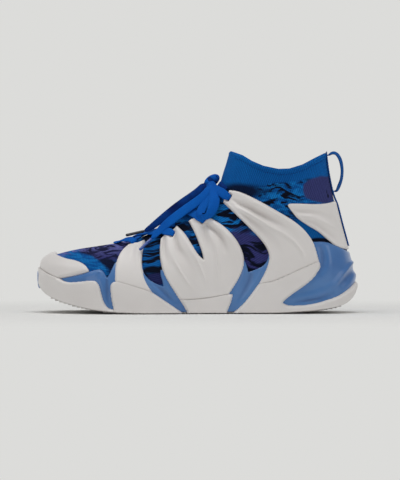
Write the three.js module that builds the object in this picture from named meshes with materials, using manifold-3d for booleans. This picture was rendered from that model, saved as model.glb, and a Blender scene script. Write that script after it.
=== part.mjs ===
// A left-foot basketball high top, in millimetres, +Z up, standing on the floor at z = 0.
// The toe points along -X and the outer (lateral) side faces -Y. The origin is in the middle of the
// shoe's box, on the floor. Every layer is an offset of one surface, the last, which is the outside of
// the knitted bootie. Panels are cut from those layers with outlines drawn in the side view.
import * as THREE from "three";
import { ParametricGeometry } from "three/addons/geometries/ParametricGeometry.js";
import { mergeVertices } from "three/addons/utils/BufferGeometryUtils.js";
import Module from "manifold-3d";

const wasm = await Module();
wasm.setup();

// ---- Driving sizes -------------------------------------------------------------------------------
const LENGTH = 1; // share of the standard length, EU 43
const WIDTH = 1; // share of the standard width
const HEIGHT = 1; // share of the standard height
const GAP = 0.3; // between pieces that touch
const SEAM = 0.2; // each panel's edge stays this far inside its drawn outline

const KNIT = 2.0; // bootie wall
const CAGE = 1.8; // moulded blue cage
const UPPER_PANEL = 3.6; // outside of the white panels on the upper, from the bootie
const SIDEWALL = 4.8; // outside of the white sidewalls, from the bootie
const HEEL_WING = 2.0; // outside of the thin heel panels, from the bootie
const COLLAR_FOAM = 3.2; // padding inside the ankle
const STIFFENER = 1.4; // heel counter and toe puff
const STROBEL = 1.5; // sewn board under the foot
const INSOLE = 4.5; // loose sockliner
const OUTSOLE = 3.0; // rubber outsole
const OUTSOLE_EDGE = 1.4; // how far the outsole stands outside the bootie
const SHANK = { front: -48, back: 62, halfWidth: 15, thickness: 1.8 };
const GROOVE = { pitch: 14, width: 2.4, depth: 1.4 }; // outsole tread
const LACE = { width: 8, thickness: 1.5 };
const WEBBING = { width: 10, thickness: 1.2 }; // pull loop, heel strip and lace keepers
const AGLET = { radius: 1.6, length: 18 };
const TUCK = 0.01; // around a strand where it comes out from under a panel
const EYELET = { clearance: 0.5, length: 3.6 }; // slots that the laces dive into
const KNOT = { station: 14, radii: [7, 7, 3.8] };
const LOOP = { standOff: 1.4, endHalf: 1.4, spread: 0.82 }; // pull loop: its ends narrow to clear its swing

// ---- Curves ---------------------------------------------------------------------------------------
// A smooth function through [key, value] pairs; it goes on straight past both ends.
function through(pairs) {
  const slope = (i) => {
    const a = pairs[Math.max(i - 1, 0)];
    const b = pairs[Math.min(i + 1, pairs.length - 1)];
    return (b[1] - a[1]) / (b[0] - a[0]);
  };
  return (key) => {
    const last = pairs.length - 2;
    let i = 0;
    while (i < last && key > pairs[i + 1][0]) i++;
    const [[k0, v0], [k1, v1]] = [pairs[i], pairs[i + 1]];
    const t = (key - k0) / (k1 - k0);
    if (t < 0) return v0 + slope(i) * (key - k0);
    if (t > 1) return v1 + slope(i + 1) * (key - k1);
    const rise = (k1 - k0) * (t * (1 - t));
    const ease = t * t * (3 - 2 * t);
    return v0 + (v1 - v0) * ease + rise * (slope(i) * (1 - t) - slope(i + 1) * t);
  };
}

// 0 at a rounded end, growing to 1 at `reach` inside it, like the quarter of a superellipse.
function rounded(inside, reach, power) {
  const left = 1 - Math.min(1, Math.max(0, inside / reach));
  return Math.pow(1 - Math.pow(left, power), 1 / power);
}

// ---- The last ---------------------------------------------------------------------------------------
// Section lines in the side view, from the toe's nose round to the ankle. Each runs from the throat
// (top) to the sole or the back of the heel (end). `round` is how far below the throat a section
// reaches its full width.
const STATIONS = [
  { top: [-147.8, 40], end: [-147.8, 40], round: 24 },
  { top: [-146.6, 46.5], end: [-147.4, 30], round: 24 },
  { top: [-143.6, 50.5], end: [-145.4, 22], round: 25 },
  { top: [-137.4, 54], end: [-140.6, 14.5], round: 27 },
  { top: [-127.6, 57.2], end: [-131.4, 8.5], round: 32 },
  { top: [-112.0, 60.6], end: [-118.0, 3], round: 38 },
  { top: [-94.0, 63.4], end: [-100.0, -1], round: 42 },
  { top: [-76.0, 66.4], end: [-80.0, -3], round: 46 },
  { top: [-57.5, 70.5], end: [-55.0, -4], round: 52 },
  { top: [-43.0, 76.5], end: [-28.0, -4], round: 58 },
  { top: [-28.5, 87.5], end: [2.0, -4], round: 64 },
  { top: [-14.0, 99.5], end: [34.0, -4], round: 68 },
  { top: [0.0, 109.5], end: [66.0, -3.5], round: 66 },
  { top: [10.0, 115.8], end: [96.0, -2], round: 60 },
  { top: [17.5, 119.8], end: [120.0, 1.5], round: 54 },
  { top: [21.5, 124], end: [136.5, 7.5], round: 50 },
  { top: [23.2, 129], end: [145.6, 18], round: 48 },
  { top: [25.0, 135], end: [147.8, 34], round: 47 },
  { top: [27.0, 141], end: [143.8, 54], round: 46 },
  { top: [29.0, 148], end: [136.0, 82], round: 45 },
  { top: [31.0, 154], end: [129.6, 108], round: 45 },
  { top: [33.0, 160], end: [124.4, 133], round: 45 },
  { top: [34.5, 167], end: [121.0, 160], round: 45 },
];
const LAST_STATION = STATIONS.length - 1;
const HEEL_STATION = 17; // from here up both sides meet at the back of the heel
const track = (name, axis) => through(STATIONS.map((s, i) => [i, axis < 0 ? s[name] : s[name][axis]]));
const topX = track("top", 0);
const topZ = track("top", 1);
const endX = track("end", 0);
const endZ = track("end", 1);
const roundDepth = track("round", -1);

// Half widths of the sole from the foot's centre line, before the toe and heel are rounded.
const lateralWidth = through([
  [-150, 44], [-120, 46], [-100, 49.5], [-80, 51], [-60, 50.5], [-40, 48], [-20, 45], [0, 42.5],
  [25, 40], [60, 38.5], [100, 37.5], [150, 37],
]);
const medialWidth = through([
  [-150, 42], [-120, 46.5], [-100, 49.5], [-80, 49.5], [-60, 47], [-40, 42.5], [-20, 38.5], [0, 36.5],
  [25, 36.5], [60, 37.5], [100, 37.5], [150, 37],
]);
const HEEL_Y = -2.4; // the heel's middle line
const centreLine = through([
  [-150, 6.6], [-120, 4.1], [-90, 1.1], [-50, -0.9], [0, -1.9], [50, HEEL_Y], [150, HEEL_Y],
]);
const NOSE = { x: -148.1, reach: 58, power: 2.25 };
const HEEL = { reach: 46, power: 2.05 };
const SECTION_POWER = 2.05;
const ankleTaper = through([[-20, 1], [45, 1], [75, 0.95], [100, 0.9], [125, 0.88], [165, 0.93]]);
const backAt = through([
  [-10, 148], [34, 148], [44, 146.5], [54, 143.8], [82, 136], [108, 129.6], [133, 124.4], [160, 121],
]);

const LATERAL = -1;
const MEDIAL = 1;

// A point of the last's surface. station runs from the toe to the ankle, across from 0 on the ridge
// to 1 at the sole or the back of the heel.
function onLast(station, across, side) {
  const share = (1 - Math.cos(Math.PI * across)) / 2;
  const x = THREE.MathUtils.lerp(topX(station), endX(station), share);
  const z = THREE.MathUtils.lerp(topZ(station), endZ(station), share);
  const length = Math.hypot(endX(station) - topX(station), endZ(station) - topZ(station));
  const width = side === LATERAL ? lateralWidth(x) : medialWidth(x);
  const toe = rounded(x - NOSE.x, NOSE.reach, NOSE.power);
  const heel = rounded(backAt(z) - x, HEEL.reach, HEEL.power);
  const section = rounded(share * length, roundDepth(station), SECTION_POWER);
  const meets = across === 0 || (across === 1 && station >= HEEL_STATION) || station === 0;
  const half = meets ? 0 : width * toe * heel * section * ankleTaper(z) * WIDTH;
  return new THREE.Vector3(x * LENGTH, centreLine(x) * WIDTH + side * half, z * HEIGHT);
}

// The outward normal there. On the ridge, at the heel's back and at the nose it has no sideways part.
function normalOnLast(station, across, side) {
  if (station === 0) return new THREE.Vector3(-1, 0, 0);
  const step = 0.02;
  const s = Math.min(Math.max(station, 0.15), LAST_STATION - step);
  const a = Math.min(Math.max(across, 0.012), 0.988);
  const alongFoot = onLast(s + step, a, side).sub(onLast(s - step, a, side));
  const aroundFoot = onLast(s, a + 0.01, side).sub(onLast(s, a - 0.01, side));
  const normal = alongFoot.cross(aroundFoot).multiplyScalar(side).normalize();
  if (across === 0 || (across === 1 && station >= HEEL_STATION)) normal.setY(0).normalize();
  return normal;
}

function offLast(station, across, side, offset) {
  return onLast(station, across, side).addScaledVector(normalOnLast(station, across, side), offset);
}

// ---- Solids -------------------------------------------------------------------------------------------
function solidOf(geometry) {
  const bare = geometry.clone();
  bare.deleteAttribute("normal");
  bare.deleteAttribute("uv");
  const merged = mergeVertices(bare, 1e-3);
  const index = merged.index.array;
  const kept = [];
  for (let i = 0; i < index.length; i += 3) {
    const [a, b, c] = [index[i], index[i + 1], index[i + 2]];
    if (a !== b && b !== c && c !== a) kept.push(a, b, c);
  }
  const make = (triangles) => new wasm.Manifold(
    new wasm.Mesh({
      numProp: 3,
      vertProperties: new Float32Array(merged.attributes.position.array),
      triVerts: new Uint32Array(triangles),
    }),
  );
  const solid = make(kept);
  if (solid.volume() > 0) return solid;
  for (let i = 0; i < kept.length; i += 3) [kept[i], kept[i + 1]] = [kept[i + 1], kept[i]];
  return make(kept);
}

function geometryOf(solid) {
  const mesh = solid.getMesh();
  const points = new Float32Array(mesh.numVert * 3);
  for (let i = 0; i < mesh.numVert; i++) {
    points.set(mesh.vertProperties.subarray(i * mesh.numProp, i * mesh.numProp + 3), i * 3);
  }
  const geometry = new THREE.BufferGeometry();
  geometry.setAttribute("position", new THREE.BufferAttribute(points, 3));
  geometry.setIndex(new THREE.BufferAttribute(new Uint32Array(mesh.triVerts), 1));
  geometry.computeVertexNormals();
  return geometry;
}

// The whole last as one closed solid, `offset` outside the bootie. Once round a section goes up the
// lateral side, over the ridge, down the medial side and back under the foot.
const ROUND_STEPS = 8; // per side
const STATION_STEPS = 28;
const offsetSolids = new Map();
function lastSolid(offset) {
  if (offsetSolids.has(offset)) return offsetSolids.get(offset);
  const slices = 2 * ROUND_STEPS + 1;
  const stacks = STATION_STEPS + 1;
  const topMiddle = onLast(LAST_STATION, 0.5, LATERAL).setY(HEEL_Y * WIDTH);
  const surface = (around, along, target) => {
    const step = Math.round(around * slices) % slices;
    const stack = Math.round(along * stacks);
    if (stack === stacks) return target.copy(topMiddle);
    const side = step <= ROUND_STEPS ? LATERAL : MEDIAL;
    const across = Math.abs(ROUND_STEPS - step) / ROUND_STEPS;
    const station = stack === STATION_STEPS
      ? LAST_STATION
      : (stack / STATION_STEPS) ** 0.92 * LAST_STATION;
    return target.copy(offLast(station, across, side, offset));
  };
  const solid = solidOf(new ParametricGeometry(surface, slices, stacks));
  offsetSolids.set(offset, solid);
  return solid;
}

const shell = (inner, outer) => lastSolid(outer).subtract(lastSolid(inner));

// ---- Outlines in the side view --------------------------------------------------------------------------
// Each run of [x, z] points is one smooth curve, and two runs meet in a corner.
function outline(...runs) {
  const points = [];
  for (const run of runs) {
    const curve = new THREE.SplineCurve(run.map(([x, z]) => new THREE.Vector2(x * LENGTH, z * HEIGHT)));
    const steps = run.length === 2 ? 1 : Math.round(1.1 * (run.length - 1));
    points.push(...curve.getPoints(steps).slice(0, -1));
  }
  return points;
}

// The outline moved outwards by `by`, or inwards where it is negative.
function grown(points, by) {
  const turn = THREE.ShapeUtils.area(points) > 0 ? 1 : -1;
  const count = points.length;
  return points.map((point, i) => {
    const before = point.clone().sub(points[(i + count - 1) % count]).normalize();
    const after = points[(i + 1) % count].clone().sub(point).normalize();
    const out = new THREE.Vector2(before.y + after.y, -before.x - after.x).normalize();
    return point.clone().addScaledVector(out, by * turn);
  });
}

// A side-view outline pushed sideways from one y to another.
function slab(points, fromY, toY) {
  const geometry = new THREE.ExtrudeGeometry(new THREE.Shape(points), {
    depth: toY - fromY, bevelEnabled: false, steps: 1,
  });
  geometry.rotateX(Math.PI / 2); // drawn (x, z), pushed along -Y
  geometry.translate(0, toY, 0);
  return solidOf(geometry);
}
const FAR = 90;
const slabOn = (points, side) =>
  side === LATERAL ? slab(points, -FAR, HEEL_Y * WIDTH) : slab(points, HEEL_Y * WIDTH, FAR);
const slabAcross = (points) => slab(points, -FAR, FAR);

// The part of a side-view strip between two curves.
function strip(lower, upper, from, to, steps = 22) {
  const xs = Array.from({ length: steps + 1 }, (_, i) => from + ((to - from) * i) / steps)
    .filter((x) => upper(x) - lower(x) > 0.4);
  return [
    ...xs.map((x) => new THREE.Vector2(x * LENGTH, lower(x) * HEIGHT)),
    ...xs.reverse().map((x) => new THREE.Vector2(x * LENGTH, upper(x) * HEIGHT)),
  ];
}

// ---- Lines that several pieces share -------------------------------------------------------------------
const soleCurve = through([
  [-156, 37], [-152, 30], [-147, 21], [-140, 15.6], [-130, 11.3], [-120, 8.3], [-110, 5.8], [-100, 3.8],
  [-90, 2.3], [-80, 1.2], [-60, 0.2], [-45, 0], [60, 0], [75, 0.3], [95, 1.3], [115, 3], [130, 5.4],
  [140, 9], [147, 15.5], [151, 24], [156, 36],
]);
const soleLine = (x) => Math.max(0, soleCurve(x));
const outsoleTop = (x) => soleLine(x) + OUTSOLE;
const footbed = through([
  [-156, 33], [-140, 27], [-120, 20.5], [-100, 17], [-80, 15], [-50, 14.5], [0, 17.5], [50, 21], [90, 23.5],
  [156, 26],
]);
const above = (line, by) => (x) => line(x) + by;
const toeCrease = [[-157, 47], [-150, 42.5], [-144, 38.8], [-138, 36], [-131, 33.5]];
const cageFrontTop = [[-131, 33.5], [-120, 36], [-110, 38.5], [-102.5, 41]];
const strapFront = [[-77.5, 31], [-78, 38], [-77.6, 45], [-76.3, 51], [-74, 57], [-70.5, 62], [-66, 65.6]];
const strapBack = [[-50, 70.6], [-51.3, 65], [-52.3, 58], [-52.4, 50], [-51.4, 42], [-49, 33], [-45.5, 26], [-42, 20.5]];
const strapFoot = [[-42, 20.5], [-51, 23.6], [-60, 26.4], [-70, 29.3], [-77.5, 31]];
const wingFront = [[-17, 13.6], [-21, 20], [-26, 28], [-31, 37], [-34, 46], [-35.6, 55], [-36, 64], [-35.5, 71]];
const wingBack = [[13, 90.5], [22, 85], [30, 78], [37, 69.5], [42, 60], [43.9, 51], [43, 43], [39.5, 34.5], [34.5, 26], [30, 19]];
const wingFoot = [[30, 19], [20, 17], [10, 15.3], [0, 14.2], [-9, 13.8], [-17, 13.6]];
const bladeFront = [[57.5, 28.5], [63, 38.5], [66.6, 48], [67.4, 55], [64.6, 63], [57, 73], [43, 87], [23.8, 105.5]];
const bladeBack = [[30, 117], [40, 115], [55, 108.4], [75, 97.3], [92, 87], [103, 77.3], [110, 66.5], [115, 50]];
const bladeFoot = [[115, 50], [100, 43.5], [85, 36.7], [71, 30.8], [57.5, 28.5]];
const heelCupEdge = [[115, 50], [116, 46], [114.5, 41.5], [109, 33.5], [100, 26], [90, 19], [83, 13.5], [80.5, 10.5]];
const RIM = [[31, 154], [35, 152.6], [42, 150], [51, 144.5], [62, 139.8], [76, 136.8], [88, 137.2], [101, 141.2], [112, 147], [123, 152.5]];

// ---- Cutting the pieces --------------------------------------------------------------------------------
const parts = new THREE.Group();
const COLOURS = {
  white: { color: 0xcfcbc7, roughness: 0.6, metalness: 0 },
  cage: { color: 0x2f5da8, roughness: 0.4, metalness: 0 },
  knit: { color: 0x16406f, roughness: 0.95, metalness: 0 },
  lace: { color: 0x0a5bb8, roughness: 0.9, metalness: 0 },
  rubber: { color: 0xb9b6b2, roughness: 0.7, metalness: 0 },
  foam: { color: 0xe4e2de, roughness: 0.8, metalness: 0 },
  lining: { color: 0x1c2b4a, roughness: 0.95, metalness: 0 },
  shank: { color: 0x20242a, roughness: 0.35, metalness: 0.1 },
};
const materials = Object.fromEntries(
  Object.entries(COLOURS).map(([name, look]) => [name, new THREE.MeshStandardMaterial(look)]),
);
function place(name, shape, look) {
  const geometry = shape.isBufferGeometry ? shape : geometryOf(shape);
  const mesh = new THREE.Mesh(geometry, materials[look]);
  mesh.name = name;
  parts.add(mesh);
  return mesh;
}
const SIDES = [["lateral", LATERAL], ["medial", MEDIAL]];
const panel = (points) => grown(points, -SEAM);

// The outsole lies inside the sidewalls, and everything above keeps clear of it.
const soleBand = (low, high) => slabAcross(strip(above(soleLine, low), above(soleLine, high), -156, 156));
const outsoleRoom = lastSolid(OUTSOLE_EDGE + GAP).intersect(soleBand(-6, OUTSOLE + GAP));

function makeOutsole() {
  let outsole = lastSolid(OUTSOLE_EDGE).intersect(soleBand(0, OUTSOLE));
  // Chevron grooves across the tread, deeper than they are open at the edge.
  const count = Math.floor(260 / GROOVE.pitch);
  for (let i = 0; i <= count; i++) {
    const x = -118 + i * GROOVE.pitch;
    const bottom = soleLine(x) - 1;
    const arm = new THREE.Shape([
      new THREE.Vector2(x, 0),
      new THREE.Vector2(x + 11, FAR),
      new THREE.Vector2(x + 11 + GROOVE.width, FAR),
      new THREE.Vector2(x + GROOVE.width, 0),
      new THREE.Vector2(x + 11 + GROOVE.width, -FAR),
      new THREE.Vector2(x + 11, -FAR),
    ]);
    const groove = new THREE.ExtrudeGeometry(arm, { depth: GROOVE.depth + 1, bevelEnabled: false });
    groove.translate(0, 0, bottom);
    groove.scale(LENGTH, 1, 1);
    outsole = outsole.subtract(solidOf(groove));
  }
  place("outsole", outsole, "rubber");
}

const shankBand = (grow) => {
  const box = new THREE.BoxGeometry(
    (SHANK.back - SHANK.front) * LENGTH + 2 * grow,
    2 * SHANK.halfWidth * WIDTH + 2 * grow,
    SHANK.thickness + 2 * grow,
  );
  box.translate(((SHANK.back + SHANK.front) / 2) * LENGTH, 0, outsoleTop(0) * HEIGHT + GAP + SHANK.thickness / 2);
  return solidOf(box);
};

function makeSoleInside() {
  place("shank_plate", shankBand(0), "shank");
  const core = lastSolid(0)
    .intersect(slabAcross(strip(above(outsoleTop, GAP), above(footbed, -GAP), -156, 156)))
    .subtract(shankBand(GAP));
  place("midsole_core", core, "foam");
  const inside = -KNIT - STIFFENER - 2 * GAP;
  const layer = (low, high, offset) =>
    lastSolid(offset).intersect(slabAcross(strip(above(footbed, low), above(footbed, high), -156, 156)));
  place("strobel_board", layer(GAP, GAP + STROBEL, inside - GAP), "foam");
  place("insole", layer(2 * GAP + STROBEL, 2 * GAP + STROBEL + INSOLE, inside - 2 * GAP), "lining");
}

// ---- The bootie -------------------------------------------------------------------------------------------
const rimCut = (below) => slabAcross(outline(
  RIM.map(([x, z]) => [x, z - below]),
  [[123, 152.5 - below], [150, 160]], [[150, 160], [150, 190]], [[150, 190], [0, 190]], [[0, 190], [20, 158]],
  [[20, 158], [31, 154 - below]],
));
function makeBootie() {
  const body = slabAcross(strip(footbed, () => 175, -156, 156));
  place("knit_bootie", shell(-KNIT, 0).intersect(body).subtract(rimCut(0)), "knit");
  const inner = -KNIT - GAP;
  const ankle = slabAcross(outline(
    [[34, 175], [30, 128], [44, 106], [80, 96], [112, 97], [140, 103]], [[140, 103], [140, 175]], [[140, 175], [34, 175]],
  ));
  place("collar_padding", shell(inner - COLLAR_FOAM, inner).intersect(ankle).subtract(rimCut(1.5)), "lining");
  const counter = slabAcross(outline(
    [[160, 33], [160, 90]], [[160, 90], [128, 91], [112, 84], [98, 62], [90, 33]], [[90, 33], [160, 33]],
  ));
  place("heel_counter", shell(inner - STIFFENER, inner).intersect(counter), "shank");
  const puff = slabAcross(outline(
    [[-160, 33], [-112, 33]], [[-112, 33], [-115, 46], [-122, 54], [-124, 70]], [[-124, 70], [-160, 70]], [[-160, 70], [-160, 33]],
  ));
  place("toe_puff", shell(inner - STIFFENER, inner).intersect(puff), "shank");
}

// ---- The blue cage and heel cup -----------------------------------------------------------------------------
const cageOutline = outline(
  cageFrontTop, [[-102.5, 41], [-97, 42.6], [-92, 43.3], [-89, 41], [-86.7, 37.5], [-85.5, 35]],
  [[-85.5, 35], [-83.3, 38.5], [-80.5, 44.5], [-78, 50]],
  [[-78, 50], [-66, 48], [-52.8, 47.5], [-50.5, 40], [-46, 34], [-39.5, 29.5], [-32, 26.5]],
  [[-32, 26.5], [-33, 32], [-34.7, 37], [-35, 42]],
  [[-35, 42], [-20, 45], [0, 45], [25, 46], [43.5, 52]],
  [[43.5, 52], [45.6, 48], [47, 43.5], [48, 39.5]],
  [[48, 39.5], [56, 42.5], [61.5, 45.5], [65.3, 50], [67.4, 57]],
  [[67.4, 57], [76, 57], [86, 50], [86, 36], [78, 20], [72, 4]],
  [[72, 4], [40, 3.8], [-40, 3.8], [-80, 5], [-92, 7]], [[-92, 7], [-112, 20], [-131, 33.5]],
);
const heelCupOutline = outline(
  [[109.5, 68.3], [122, 68], [131, 65], [139, 61.8], [146, 58.5], [160, 54]], [[160, 54], [160, 31]],
  [[160, 31], [150, 24], [140, 14.5], [128, 9], [108, 6], [78, 5.5]],
  [[78, 5.5], [80, 14], [92, 30], [103, 48], [109.5, 68.3]],
);
const cageRoom = (side) => slabOn(grown(cageOutline, GAP), side).intersect(lastSolid(CAGE + GAP));
const heelCupRoom = slabAcross(grown(heelCupOutline, GAP)).intersect(lastSolid(CAGE + GAP));

function makeCage() {
  for (const [word, side] of SIDES) {
    const cut = slabOn(panel(cageOutline), side).intersect(shell(GAP, CAGE));
    place(`cage_${word}`, cut.subtract(outsoleRoom), "cage");
  }
  place("heel_cup", slabAcross(panel(heelCupOutline)).intersect(shell(GAP, CAGE)).subtract(outsoleRoom), "cage");
}

// ---- White panels --------------------------------------------------------------------------------------------
function whitePanel(name, points, side, outside) {
  const cutter = side === 0 ? slabAcross(panel(points)) : slabOn(panel(points), side);
  const cages = side === 0 ? cageRoom(LATERAL).add(cageRoom(MEDIAL)) : cageRoom(side);
  const slots = side === 0 ? [] : [eyeletSlots(side), strandRooms(side)];
  const cut = [cages, heelCupRoom, outsoleRoom, ...slots]
    .reduce((solid, room) => solid.subtract(room), cutter.intersect(shell(GAP, outside)));
  const pieces = cut.decompose().sort((a, b) => b.volume() - a.volume());
  place(name, pieces[0], "white");
}
const wall = (x) => [x, soleLine(x) + 1];
const TOE_INSERT = outline(
  [[-160, 40], [-151.3, 39.6], [-149.9, 36.5], [-149.8, 32.5], [-151.2, 27.6]], [[-151.2, 27.6], [-160, 27]],
  [[-160, 27], [-160, 40]],
);

function makeWhitePanels() {
  const toeInsert = slabAcross(grown(TOE_INSERT, GAP));
  const toeCap = outline(
    [[-157, 47], [-157, 66]], [[-157, 66], [-135.5, 61]], [[-135.5, 61], [-134.5, 56.3]],
    [[-134.5, 56.3], [-126, 53.3], [-117, 51.5], [-110, 49], [-105.5, 45.8], [-102.5, 41]],
    cageFrontTop.slice().reverse(), toeCrease.slice().reverse(),
  );
  whitePanel("toe_cap", toeCap, 0, UPPER_PANEL);
  const toeWall = outline(
    toeCrease, [[-131, 33.5], [-126, 31], [-119, 30.2], [-110, 31], [-102, 32], [-96.5, 31.5], [-92.8, 27.5], [-90.5, 19.5],
      [-88, 11.5], [-84, 6.3], [-79, 4.6]],
    [[-79, 4.6], wall(-78.6)], [-78.6, -88, -100, -112, -124, -134, -142, -148, -152, -157].map(wall),
    [wall(-157), [-157, 47]],
  );
  const cutter = slabAcross(panel(toeWall)).intersect(shell(GAP, SIDEWALL))
    .subtract(cageRoom(LATERAL).add(cageRoom(MEDIAL))).subtract(outsoleRoom).subtract(toeInsert);
  place("toe_sidewall", cutter.decompose().sort((a, b) => b.volume() - a.volume())[0], "white");
  place("toe_insert", slabAcross(panel(TOE_INSERT)).intersect(shell(GAP, SIDEWALL)).subtract(outsoleRoom), "cage");

  const strap = outline(strapFront, [[-66, 65.6], [-62, 66.8], [-56, 68.1], [-50, 70.6]], strapBack, strapFoot);
  const foreWall = outline(
    [[-79, 4.6], [-80.6, 12], [-81.8, 20], [-81.8, 27], [-80, 30.3], [-77.5, 31]], strapFoot.slice().reverse(),
    [[-42, 20.5], [-34, 15], [-26, 9.7], [-19, 4.8], [-14, 1.4]], [-14, -30, -50, -66, -78.6].map(wall), [wall(-78.6), [-79, 4.6]],
  );
  const wing = outline(
    wingFront, [[-35.5, 71], [-31, 75.8], [-26, 79], [-22.6, 81], [-20, 84]],
    [[-20, 84], [-12, 76], [-5, 65.3], [0.5, 56.7], [5.6, 51.6]], [[5.6, 51.6], [4, 59], [0.5, 68.5], [-4, 79], [-9, 88]],
    [[-9, 88], [-2, 91.8], [6, 92.4], [13, 90.5]], wingBack, wingFoot,
  );
  const midWall = outline(
    wingFoot, [[-17, 13.6], [-13.5, 8.5], [-10.5, 3], [-10, 1]], [-10, 8, 28].map(wall),
    [wall(28), [28.8, 4], [31.8, 11.5], [33.4, 18.6]], [[33.4, 18.6], [30, 19]],
  );
  const blade = outline(bladeFront, [[23.8, 105.5], [25, 111], [30, 117]], bladeBack, bladeFoot);
  const heelWing = outline(
    [[85, 102], [87, 104], [97, 104.2], [112, 103.8], [123, 104.5], [134, 107]], [[134, 107], [150, 60]],
    [[150, 60], [139, 61.9], [131, 65]], [[131, 65], [124, 70.5], [115, 77.7], [104, 84], [95, 90], [89.5, 96], [85, 102]],
  );
  for (const [word, side] of SIDES) {
    whitePanel(`forefoot_strap_${word}`, strap, side, UPPER_PANEL);
    whitePanel(`forefoot_sidewall_${word}`, foreWall, side, SIDEWALL);
    whitePanel(`midfoot_wing_${word}`, wing, side, UPPER_PANEL);
    whitePanel(`midfoot_sidewall_${word}`, midWall, side, SIDEWALL);
    whitePanel(`quarter_blade_${word}`, blade, side, UPPER_PANEL);
    const wingCut = slabOn(panel(heelWing), side).intersect(shell(GAP, HEEL_WING)).subtract(heelCupRoom);
    place(`heel_wing_${word}`, wingCut.subtract(heelStripRoom()), "white");
  }
  const rearWall = outline(
    bladeFoot.slice().reverse(), heelCupEdge, [[80.5, 10.5], [86, 8.3], [97, 8.3], [110, 9.8], [122, 13], [134, 17.2], [144, 23.5], [151, 30], [160, 37]],
    [[160, 37], [160, 26]], [[160, 26], wall(150)], [150, 147, 140, 130, 115, 95, 75, 33].map(wall),
    [wall(33), [38, 5.2], [44, 10.8], [50.5, 19], [57.5, 28.5]],
  );
  whitePanel("rear_sidewall", rearWall, 0, SIDEWALL);
}

// ---- Webbing ------------------------------------------------------------------------------------------
// A flat band along a path. Each point says which way the band's face looks. A width may depend on
// the place.
function ribbon(points, faces, width, thickness, perSpan = 2) {
  const path = new THREE.CatmullRomCurve3(points, false, "centripetal");
  const looks = new THREE.CatmullRomCurve3(faces);
  const steps = perSpan * (points.length - 1);
  const corners = [[-1, -1], [1, -1], [1, 1], [-1, 1], [-1, -1]];
  const surface = (around, along, target) => {
    const stack = Math.round(along * (steps + 2));
    const t = Math.min(Math.max((stack - 1) / steps, 0), 1);
    const ahead = path.getTangent(t);
    const face = looks.getPoint(t);
    face.addScaledVector(ahead, -face.dot(ahead)).normalize();
    const across = ahead.clone().cross(face);
    const capped = stack === 0 || stack === steps + 2;
    const [u, w] = capped ? [0, 0] : corners[Math.round(around * 4)];
    target.copy(path.getPoint(t));
    const wide = typeof width === "function" ? width(target) : width;
    target.addScaledVector(across, (u * wide) / 2).addScaledVector(face, (w * thickness) / 2);
  };
  return solidOf(new ParametricGeometry(surface, 4, steps + 2));
}

// Up the back of the heel, from the top of the cup to the rim.
const STRIP_OFFSET = GAP + WEBBING.thickness / 2;
const backSeam = (station, offset) => offLast(station, 1, LATERAL, offset);
function heelBand(width, thickness, offset) {
  const points = [18.35, 18.7, 19.1, 19.5, 20, 20.5, 21, 21.4, 21.72].map((s) => backSeam(s, offset));
  return ribbon(points, points.map(() => new THREE.Vector3(1, 0, 0.2)), width, thickness, 1);
}
const heelStripRoom = () => heelBand(WEBBING.width + 2 * GAP, WEBBING.thickness + 4, STRIP_OFFSET);

// The pull loop swings about a line just off the strip, through its two ends. It narrows towards them,
// so it clears the strip as it swings: its half width is `endHalf` on the line and grows by `spread`.
const LOOP_OUT = STRIP_OFFSET + WEBBING.thickness / 2 + LOOP.standOff;
const LOOP_TOP = backSeam(21.62, LOOP_OUT);
const LOOP_FOOT = backSeam(20.28, LOOP_OUT);
const LOOP_PATH = [
  [2, 1.6], [5, 2.2], [8, 0.6], [10.6, -3.4], [12.2, -9], [12.8, -16], [12, -23], [10, -29], [7.6, -34],
].map(([out, up]) => new THREE.Vector3(LOOP_TOP.x + out, LOOP_TOP.y, LOOP_TOP.z + up));

function makeWebbing() {
  place("heel_strip", heelBand(WEBBING.width, WEBBING.thickness, STRIP_OFFSET), "lace");
  const path = [LOOP_TOP, ...LOOP_PATH, LOOP_FOOT];
  const middle = LOOP_TOP.clone().lerp(LOOP_FOOT, 0.5);
  const line = new THREE.Line3(LOOP_FOOT, LOOP_TOP);
  const width = (point) => {
    const off = line.closestPointToPoint(point, true, new THREE.Vector3()).distanceTo(point);
    return Math.min(WEBBING.width, 2 * (LOOP.endHalf + LOOP.spread * off));
  };
  const faces = path.map((point) => point.clone().sub(middle).setY(0));
  place("pull_loop", ribbon(path, faces, width, WEBBING.thickness), "lace");
}

// ---- Laces ----------------------------------------------------------------------------------------------
// Each row has an eyelet slot in a panel's tip, and an edge where the other strand comes out from under
// the panel. Both are places on the last, as a station and a share across.
const ROWS = [
  { eyelet: [7.85, 0.16], edge: [7.75, 0.085] },
  { eyelet: [10.05, 0.255], edge: [10.05, 0.185] },
  { eyelet: [11.65, 0.275], edge: [11.65, 0.222] },
  { eyelet: [14.35, 0.21], edge: [14.8, 0.155] },
];
const HOLLOW = 80 / 3; // radius of the tightest hollow that a flat strand bridges
const SAG = LACE.width ** 2 / (8 * HOLLOW); // how far a strand's edges sink into it
const UNDER = GAP + SAG + LACE.thickness / 2; // height of a strand's middle on the bootie
const OVER = UNDER + LACE.thickness + GAP; // and where it crosses another
const RIDE = UPPER_PANEL + UNDER; // and on a white panel
const HANG = RIDE + 1.5 * (SAG - GAP); // free ends and bows are placed from here

const place3 = ([station, across], lift) =>
  offLast(station, Math.abs(across), across < 0 ? LATERAL : MEDIAL, lift);
const face3 = ([station, across]) => normalOnLast(station, Math.abs(across), across < 0 ? LATERAL : MEDIAL);
const between = (from, to, t) => from.map((value, i) => THREE.MathUtils.lerp(value, to[i], t));

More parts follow.
